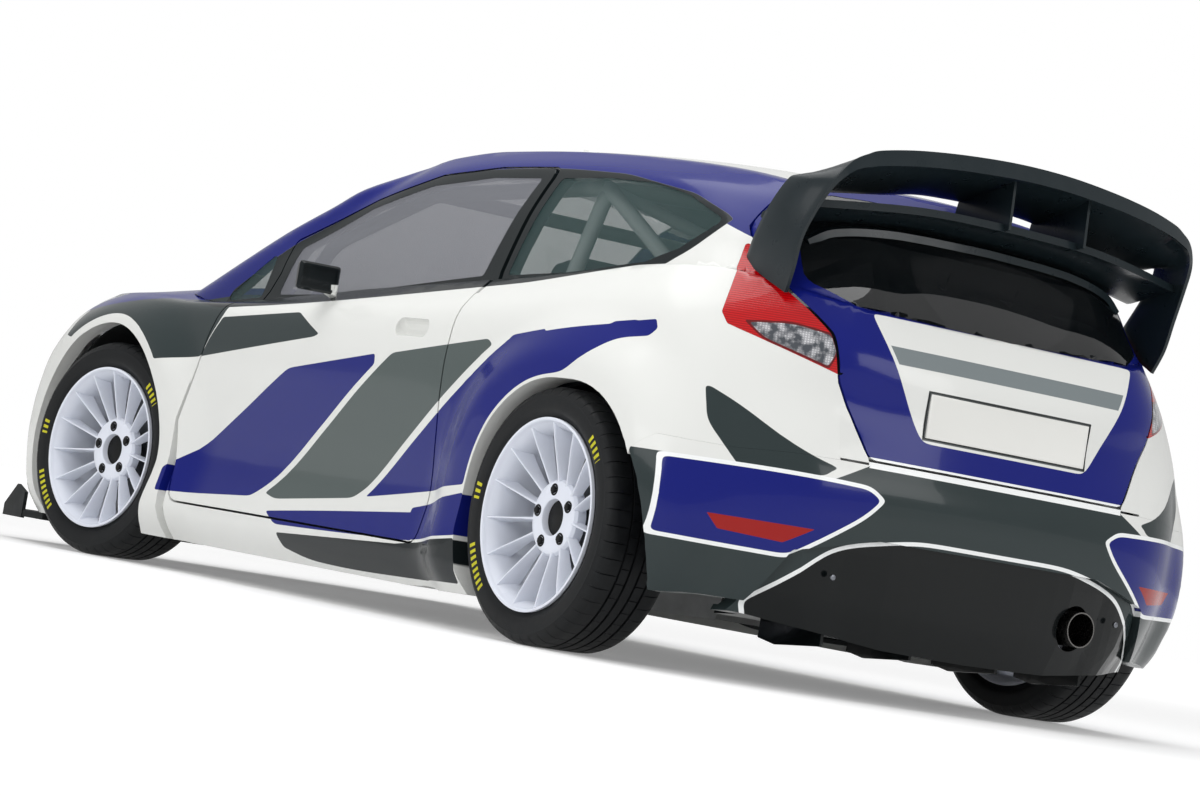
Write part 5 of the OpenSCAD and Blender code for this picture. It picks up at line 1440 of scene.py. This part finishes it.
def build_rim(place, spokes):
    at = wheel_matrix(place)
    barrel = spin_profile("barrel", RIM_PROFILE, 120)
    hub = spin_profile("hub", HUB_PROFILE, 80)
    spoke = loft("spoke", [spoke_ring(*s) for s in SPOKE_SECTIONS], 50)
    parts = [barrel, hub]
    for k in range(spokes):
        turn = Matrix.Rotation(math.tau * k / spokes + math.pi / 2, 4, "Z")
        parts.append(turned_copy(spoke, "spoke_%d" % k, turn))
    bpy.data.objects.remove(spoke)
    for face_ob in parts:
        face_ob.data.materials.append(finish("rim_paint"))
    rim = join("rim_%s_spoked" % place, *parts)
    rim.data.transform(at)
    finish_piece(rim, "wheel_" + place, finish("rim_paint"), ["rim_" + place])
    # Painted shade: a near-black domed disc closes the centre bore where the hole is dark; the bolt seats and nuts
    # share its near-black satin.
    bore = spin_profile("bore", BORE_PROFILE, 60)
    bolts = [bore]
    for k in range(5):
        a = math.tau * k / 5 + math.radians(90 + 8)
        x, y = BOLT_CIRCLE * MM * math.cos(a), BOLT_CIRCLE * MM * math.sin(a)
        ring = spin_profile("bolt_seat_%d" % k, BOLT_SEAT_PROFILE, 24)
        ring.data.transform(Matrix.Translation((x, y, 0)))
        nut = add_rod("nut_%d" % k, (x, y, 0.056), (x, y, 0.0665), 0.0105, 0.0095, 6, 0.0015)
        bolts += [ring, nut]
    for ob in bolts:
        ob.data.materials.append(finish("dark_bore"))
    centre = join("wheel_bolts_" + place, *bolts)
    centre.data.transform(at)
    finish_piece(centre, "wheel_" + place, finish("dark_bore"))


def tread_lines(grooves, edge=0.9):
    """Heights across the tread with a pair of lines at each edge of each groove."""
    lines = []
    for z, half in grooves:
        lines += [z - half - edge, z - half, z + half, z + half + edge]
    return lines


def build_tyre(place, depth):
    """Tyre with four grooves round it, cuts in its shoulders and plain marks on its side wall."""
    at = wheel_matrix(place)
    grooves = [(44, 2.6), (14, 2.6), (-16, 2.6), (-48, 2.6)]
    pitches, shares = 50, (0.0, 0.055, 0.08, 0.30, 0.5, 0.555, 0.58, 0.8)
    flat = sorted(tread_lines(grooves) + [85, 72, 60, 30, -2, -32, -64, -74, -85])
    side = [(319.5, 97), (316, 102), (311, 106.5), (303, 110.4), (300.5, 112.2), (297, 112.0), (291, 112.7),
            (276, 112.9), (268, 112.2), (262, 111), (259, 108.6), (254, 105.5), (249, 103.5), (245.4, 101.2),
            (245.4, 90)]
    rings = [(r, -z) for r, z in reversed(side)] + [(None, z) for z in flat] + side
    angles = [math.tau * (p + s) / pitches for p in range(pitches) for s in shares]
    verts = []
    for i, (r, z) in enumerate(rings):
        for k, a in enumerate(angles):
            share = k % len(shares)
            if r is None:
                r0 = WHEEL_R - 0.9 * ((abs(z) - 50) / 35) ** 2 if abs(z) > 50 else WHEEL_R
                low = any(abs(z - g) <= half + 0.01 for g, half in grooves)
                cut = (share in (1,) and (z > 56 or z < -60)) or (share == 5 and (18 < z < 42 or -46 < z < -18))
                r_here = r0 - depth / MM * (1.0 if low else 0.55 if cut else 0.0)
            else:
                r_here = r - (2.2 if share == 1 and 309 < r < 321 else 0.0)
            verts.append(Vector((r_here * math.cos(a), r_here * math.sin(a), z)) * MM)
    n = len(angles)
    faces, marks = [], []
    for i in range(len(rings) - 1):
        for k in range(n):
            faces.append((i * n + k, i * n + (k + 1) % n, (i + 1) * n + (k + 1) % n, (i + 1) * n + k))
            r, share, turn = rings[i][0], k % len(shares), math.degrees(angles[k])
            marked = r is not None and i > len(side) and 276 <= r <= 291.5 and share not in (1, 2, 5, 6)
            marks.append(1 if marked and any(a < turn < b for a, b in MARK_ANGLES) else 0)
    inner = len(rings) * n
    for r, z in ((252, 70), (254, 0), (252, -70)):
        verts += [Vector((r * math.cos(a), r * math.sin(a), z)) * MM for a in angles]
    chain = [(len(rings) - 1) * n, inner, inner + n, inner + 2 * n, 0]
    for low, high in zip(chain, chain[1:]):
        for k in range(n):
            faces.append((low + k, low + (k + 1) % n, high + (k + 1) % n, high + k))
            marks.append(0)
    ob = new_object("tyre_%s_treaded" % place, verts, faces)
    looks = [finish("tyre_rubber"), finish("tyre_mark")]
    finish_piece(ob, "wheel_" + place, looks, ["tyre_" + place])
    ob.data.polygons.foreach_set("material_index", marks)
    ob.data.transform(at)
    bm = bmesh.new()
    bm.from_mesh(ob.data)
    bmesh.ops.recalc_face_normals(bm, faces=bm.faces)
    bm.to_mesh(ob.data)
    bm.free()
    shade(ob, 28)
    return ob


class RALLY_OT_wheels(bpy.types.Operator):
    """Makes the four spoked rims and the treaded tyres"""
    bl_idname = "rally.wheels"
    bl_label = "Wheels"

    def execute(self, context):
        sizes = context.scene.rally_sizes
        for place in ("front_left", "front_right", "rear_left", "rear_right"):
            build_rim(place, sizes.spokes)
            build_tyre(place, sizes.tread)
        return {"FINISHED"}


# Rear edge and front edge of the wing's hoop, from the foot of its left side plate to its middle, with the
# height of the rear lip and the thickness.
WING_HOOP = (
    ((-1.765, 0.613, 0.953), (-1.590, 0.622, 1.030), 0.010, 0.010),
    ((-1.790, 0.620, 1.015), (-1.618, 0.630, 1.085), 0.010, 0.012),
    ((-1.806, 0.622, 1.090), (-1.655, 0.634, 1.145), 0.010, 0.014),
    ((-1.836, 0.612, 1.165), (-1.690, 0.630, 1.200), 0.010, 0.015),
    ((-1.864, 0.598, 1.225), (-1.712, 0.615, 1.240), 0.012, 0.016),
    ((-1.878, 0.580, 1.264), (-1.712, 0.592, 1.238), 0.018, 0.018),
    ((-1.886, 0.556, 1.294), (-1.700, 0.562, 1.230), 0.026, 0.020),
    ((-1.891, 0.524, 1.313), (-1.684, 0.526, 1.232), 0.034, 0.021),
    ((-1.895, 0.489, 1.328), (-1.672, 0.489, 1.238), 0.040, 0.022),
    ((-1.907, 0.400, 1.346), (-1.668, 0.400, 1.252), 0.042, 0.022),
    ((-1.917, 0.300, 1.359), (-1.666, 0.300, 1.268), 0.042, 0.022),
    ((-1.924, 0.200, 1.368), (-1.664, 0.200, 1.288), 0.042, 0.022),
    ((-1.929, 0.100, 1.374), (-1.662, 0.100, 1.296), 0.042, 0.022),
    ((-1.930, 0.000, 1.376), (-1.662, 0.000, 1.299), 0.042, 0.022))


def wing_ring(rear, front, along, lip, thick):
    """Section of a wing element: rounded front, hollow underside and an upright lip along its rear edge."""
    rear, front = Vector(rear), Vector(front)
    up = (rear - front).cross(along).normalized()
    shares = (0.0, 0.04, 0.12, 0.3, 0.5, 0.7, 0.86, 0.95, 0.985, 1.0)
    upper = [front.lerp(rear, u) + up * (0.010 * math.sin(math.pi * min(1, u * 1.05)) * (1 - u) ** 0.3
                                         - thick * 0.5 * (1 - min(1, u / 0.05)) ** 2) for u in shares]
    lower = []
    for u in shares:
        body = thick * (0.55 + 0.45 * math.cos(math.pi * min(1, u / 0.9) * 0.5))
        near = max(0.0, (u - 0.86) / 0.14)
        drop = body * (1 - near) + lip * near
        drop *= 0.5 + 0.5 * min(1, u / 0.05)
        lower.append(front.lerp(rear, u) - up * drop)
    return upper + lower[::-1]


def swept_wing(name, stations, cut=6):
    """A smooth element through the given stations, mirrored to the other side."""
    rows = [[Vector(r), Vector(f), Vector((lip, thick, 0))] for r, f, lip, thick in stations]
    mirror = [[Vector((r.x, -r.y, r.z)), Vector((f.x, -f.y, f.z)), k] for r, f, k in reversed(rows[:-1])]
    rows += mirror
    fine = []
    for i in range(len(rows) - 1):
        four = [rows[max(0, min(len(rows) - 1, i + k))] for k in (-1, 0, 1, 2)]
        for s in range(cut):
            fine.append([curve_point(*[f[c] for f in four], s / cut) for c in range(3)])
    fine.append(rows[-1])
    rings = []
    for i, (rear, front, size) in enumerate(fine):
        a, b = fine[max(0, i - 1)], fine[min(len(fine) - 1, i + 1)]
        along = ((b[0] + b[1]) - (a[0] + a[1])).normalized()
        rings.append(wing_ring(rear, front, along, size.x, size.y))
    return loft(name, rings, 40)


def bar_stations(half, count, edge, chord, rise, lip, thick):
    """Stations of a cross element from its left end to its middle; edge gives the rear edge's x and z."""
    out = []
    for k in range(count):
        y = half * (1 - k / (count - 1))
        x, z = edge(y)
        out.append(((x, y, z), (x + chord, y, z - rise), lip, thick))
    return out


def middle_edge(y):
    return -1.86 + 0.06 * (y / 0.6) ** 2, float(np.interp(y, [0, 0.2, 0.3, 0.4, 0.489, 0.55, 0.62],
                                                         [1.230, 1.228, 1.223, 1.213, 1.202, 1.194, 1.186]))


def low_edge(y):
    return -1.762 + 0.055 * (y / 0.489) ** 2, float(np.interp(y, [0, 0.2, 0.3, 0.4, 0.46, 0.5, 0.52],
                                                              [1.169, 1.166, 1.162, 1.150, 1.136, 1.118, 1.10]))


WING_FINS = (0.04, -0.21)
FIN_OUTLINE = ((-1.874, 1.338), (-1.880, 1.215), (-1.70, 1.190), (-1.655, 1.225), (-1.668, 1.285), (-1.75, 1.302))


def wing_fin(name, y):
    """A thin upright plate between the two upper elements."""
    half = 0.004
    rings = [[Vector((x, y + side, z)) for x, z in FIN_OUTLINE] for side in (half, -half)]
    return loft(name, rings, 40)


class RALLY_OT_wing(bpy.types.Operator):
    """Makes the rear wing: a hoop with its side plates, two cross elements and two fins"""
    bl_idname = "rally.wing"
    bl_label = "Rear wing"

    def execute(self, context):
        hoop = swept_wing("wing_hoop", WING_HOOP)
        middle = swept_wing("wing_middle", bar_stations(0.612, 12, middle_edge, 0.185, 0.040, 0.020, 0.018), 3)
        low = swept_wing("wing_low", bar_stations(0.52, 12, low_edge, 0.075, 0.006, 0.019, 0.014), 3)
        fins = [wing_fin("fin_%d" % k, y) for k, y in enumerate(WING_FINS)]
        wing = join("rear_wing_smooth", hoop, middle, low, *fins)
        finish_piece(wing, "tailgate", finish("wing_black"), ["rear_wing"])
        return {"FINISHED"}


CAMERA_PLACE = (-8.952, 5.949, 0.260)
CAMERA_YAW, CAMERA_PITCH, CAMERA_ROLL = -0.594, 0.041, 0.164
CAMERA_LENS = 3693.9 / 1200 * 36


def camera_rotation():
    """Axes of the camera from its heading, its pitch and its roll."""
    d = Vector((math.cos(CAMERA_PITCH) * math.cos(CAMERA_YAW), math.cos(CAMERA_PITCH) * math.sin(CAMERA_YAW),
                math.sin(CAMERA_PITCH)))
    right = d.cross(Vector((0, 0, 1))).normalized()
    up = right.cross(d)
    c, s = math.cos(CAMERA_ROLL), math.sin(CAMERA_ROLL)
    return Matrix((right * c + up * s, up * c - right * s, -d)).transposed()


def pale_material(name, colour, glow):
    """Matt surface that a camera, a mirror or glass sees a little brighter than the light makes it, and brighter
    still further from the car's middle.
    """
    mat = bpy.data.materials.new(name)
    mat.use_nodes = True
    n = Nodes(mat.node_tree)
    shader = mat.node_tree.nodes["Principled BSDF"]
    shader.inputs["Roughness"].default_value = 0.9
    shader.inputs["Specular IOR Level"].default_value = 0.1
    coords = n.add("ShaderNodeTexCoord").outputs["Object"]
    n.link(n.mix(n.ramp(n.noise(coords, 0.8), 0.3, 0.7), tuple(c * 0.99 for c in colour), colour),
           shader.inputs["Base Color"])
    path = n.add("ShaderNodeLightPath")
    seen = n.math("ADD", n.math("ADD", path.outputs["Is Camera Ray"], path.outputs["Is Glossy Ray"]),
                  path.outputs["Is Transmission Ray"], clamp=True)
    light = n.add("ShaderNodeEmission")
    light.inputs["Color"].default_value = (1, 1, 1, 1)
    # Painted glow that grows with distance from the car's middle, so the floor near the car is painted darker than
    # the far floor: a broad painted shade round the car.
    far = n.ramp(n.vector("LENGTH", coords), 2.6, 9.0, glow, glow + 0.38)
    n.link(n.math("MULTIPLY", seen, far), light.inputs["Strength"])
    add = n.add("ShaderNodeAddShader")
    n.link(shader.outputs[0], add.inputs[0])
    n.link(light.outputs[0], add.inputs[1])
    n.link(add.outputs[0], mat.node_tree.nodes["Material Output"].inputs["Surface"])
    return mat


class RALLY_OT_stage(bpy.types.Operator):
    """Makes the floor, the soft lights and the camera"""
    bl_idname = "rally.stage"
    bl_label = "Stage"

    def execute(self, context):
        scene = context.scene
        bpy.ops.object.select_all(action="DESELECT")
        bpy.ops.mesh.primitive_circle_add(vertices=96, radius=60, fill_type="NGON", location=(0, 0, -0.0005))
        floor = context.view_layer.objects.active
        floor.name = floor.data.name = "studio_floor"
        settle(floor)
        floor.data.materials.append(pale_material("floor_white", (0.80, 0.80, 0.80), 0.22))

        world = bpy.data.worlds.new("studio")
        scene.world = world
        world.use_nodes = True
        n = Nodes(world.node_tree)
        back = world.node_tree.nodes["Background"]
        path = n.add("ShaderNodeLightPath")
        seen = n.math("ADD", path.outputs["Is Camera Ray"], path.outputs["Is Transmission Ray"], clamp=True)
        n.link(n.ramp(seen, 0.0, 1.0, WORLD_LIGHT, 1.0), back.inputs["Strength"])
        back.inputs["Color"].default_value = (1, 1, 1, 1)

        for name, place, target, size, power, spread in SOFT_LIGHTS:
            data = bpy.data.lights.new(name, "AREA")
            data.shape = "RECTANGLE"
            data.size, data.size_y = size
            data.energy = power
            data.spread = math.radians(spread)
            lamp = bpy.data.objects.new(name, data)
            lamp.location = place
            lamp.rotation_euler = (Vector(target) - Vector(place)).to_track_quat("-Z", "Y").to_euler()
            scene.collection.objects.link(lamp)

        data = bpy.data.cameras.new("photo_view")
        data.lens = CAMERA_LENS
        data.sensor_width = 36
        data.sensor_fit = "HORIZONTAL"
        data.clip_end = 200
        camera = bpy.data.objects.new("photo_view", data)
        camera.matrix_world = Matrix.Translation(CAMERA_PLACE) @ camera_rotation().to_4x4()
        scene.collection.objects.link(camera)
        scene.camera = camera
        scene.view_settings.view_transform = "Standard"
        return {"FINISHED"}


WORLD_LIGHT = 0.55
SOFT_LIGHTS = (
    ("ceiling_light", (-0.5, 0.5, 4.6), (-0.2, 0, 0.5), (6.0, 4.0), 150, 170),
    ("side_light", (-2.0, 6.5, 2.6), (0, 0, 0.6), (7.0, 2.4), 110, 150),
    ("tail_light", (-7.5, -1.5, 2.2), (-1.5, 0, 0.6), (4.0, 2.0), 70, 150),
)

OPERATORS = (RALLY_OT_stage, RALLY_OT_body, RALLY_OT_bonnet, RALLY_OT_doors, RALLY_OT_tailgate, RALLY_OT_glass,
             RALLY_OT_lamps, RALLY_OT_inside, RALLY_OT_cabin, RALLY_OT_wheels, RALLY_OT_wing)


class RALLY_PT_panel(bpy.types.Panel):
    """Lists the pieces of the rally car"""
    bl_idname = "RALLY_PT_panel"
    bl_label = "Rally car"
    bl_space_type = "VIEW_3D"
    bl_region_type = "UI"
    bl_category = "Rally car"

    def draw(self, context):
        layout = self.layout
        for group in (context.scene.rally_colours, context.scene.rally_sizes):
            box = layout.box()
            for name in group.__annotations__:
                box.prop(group, name)
        for operator in OPERATORS:
            layout.operator(operator.bl_idname)


CLASSES = (CarColours, CarSizes) + OPERATORS + (RALLY_PT_panel,)


def register():
    for cls in CLASSES:
        bpy.utils.register_class(cls)
    bpy.types.Scene.rally_colours = PointerProperty(type=CarColours)
    bpy.types.Scene.rally_sizes = PointerProperty(type=CarSizes)


def unregister():
    del bpy.types.Scene.rally_sizes
    del bpy.types.Scene.rally_colours
    for cls in reversed(CLASSES):
        bpy.utils.unregister_class(cls)


def main():
    register()
    for operator in OPERATORS:
        group, name = operator.bl_idname.split(".")
        getattr(getattr(bpy.ops, group), name)()
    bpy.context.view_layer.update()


if __name__ == "__main__":
    main()
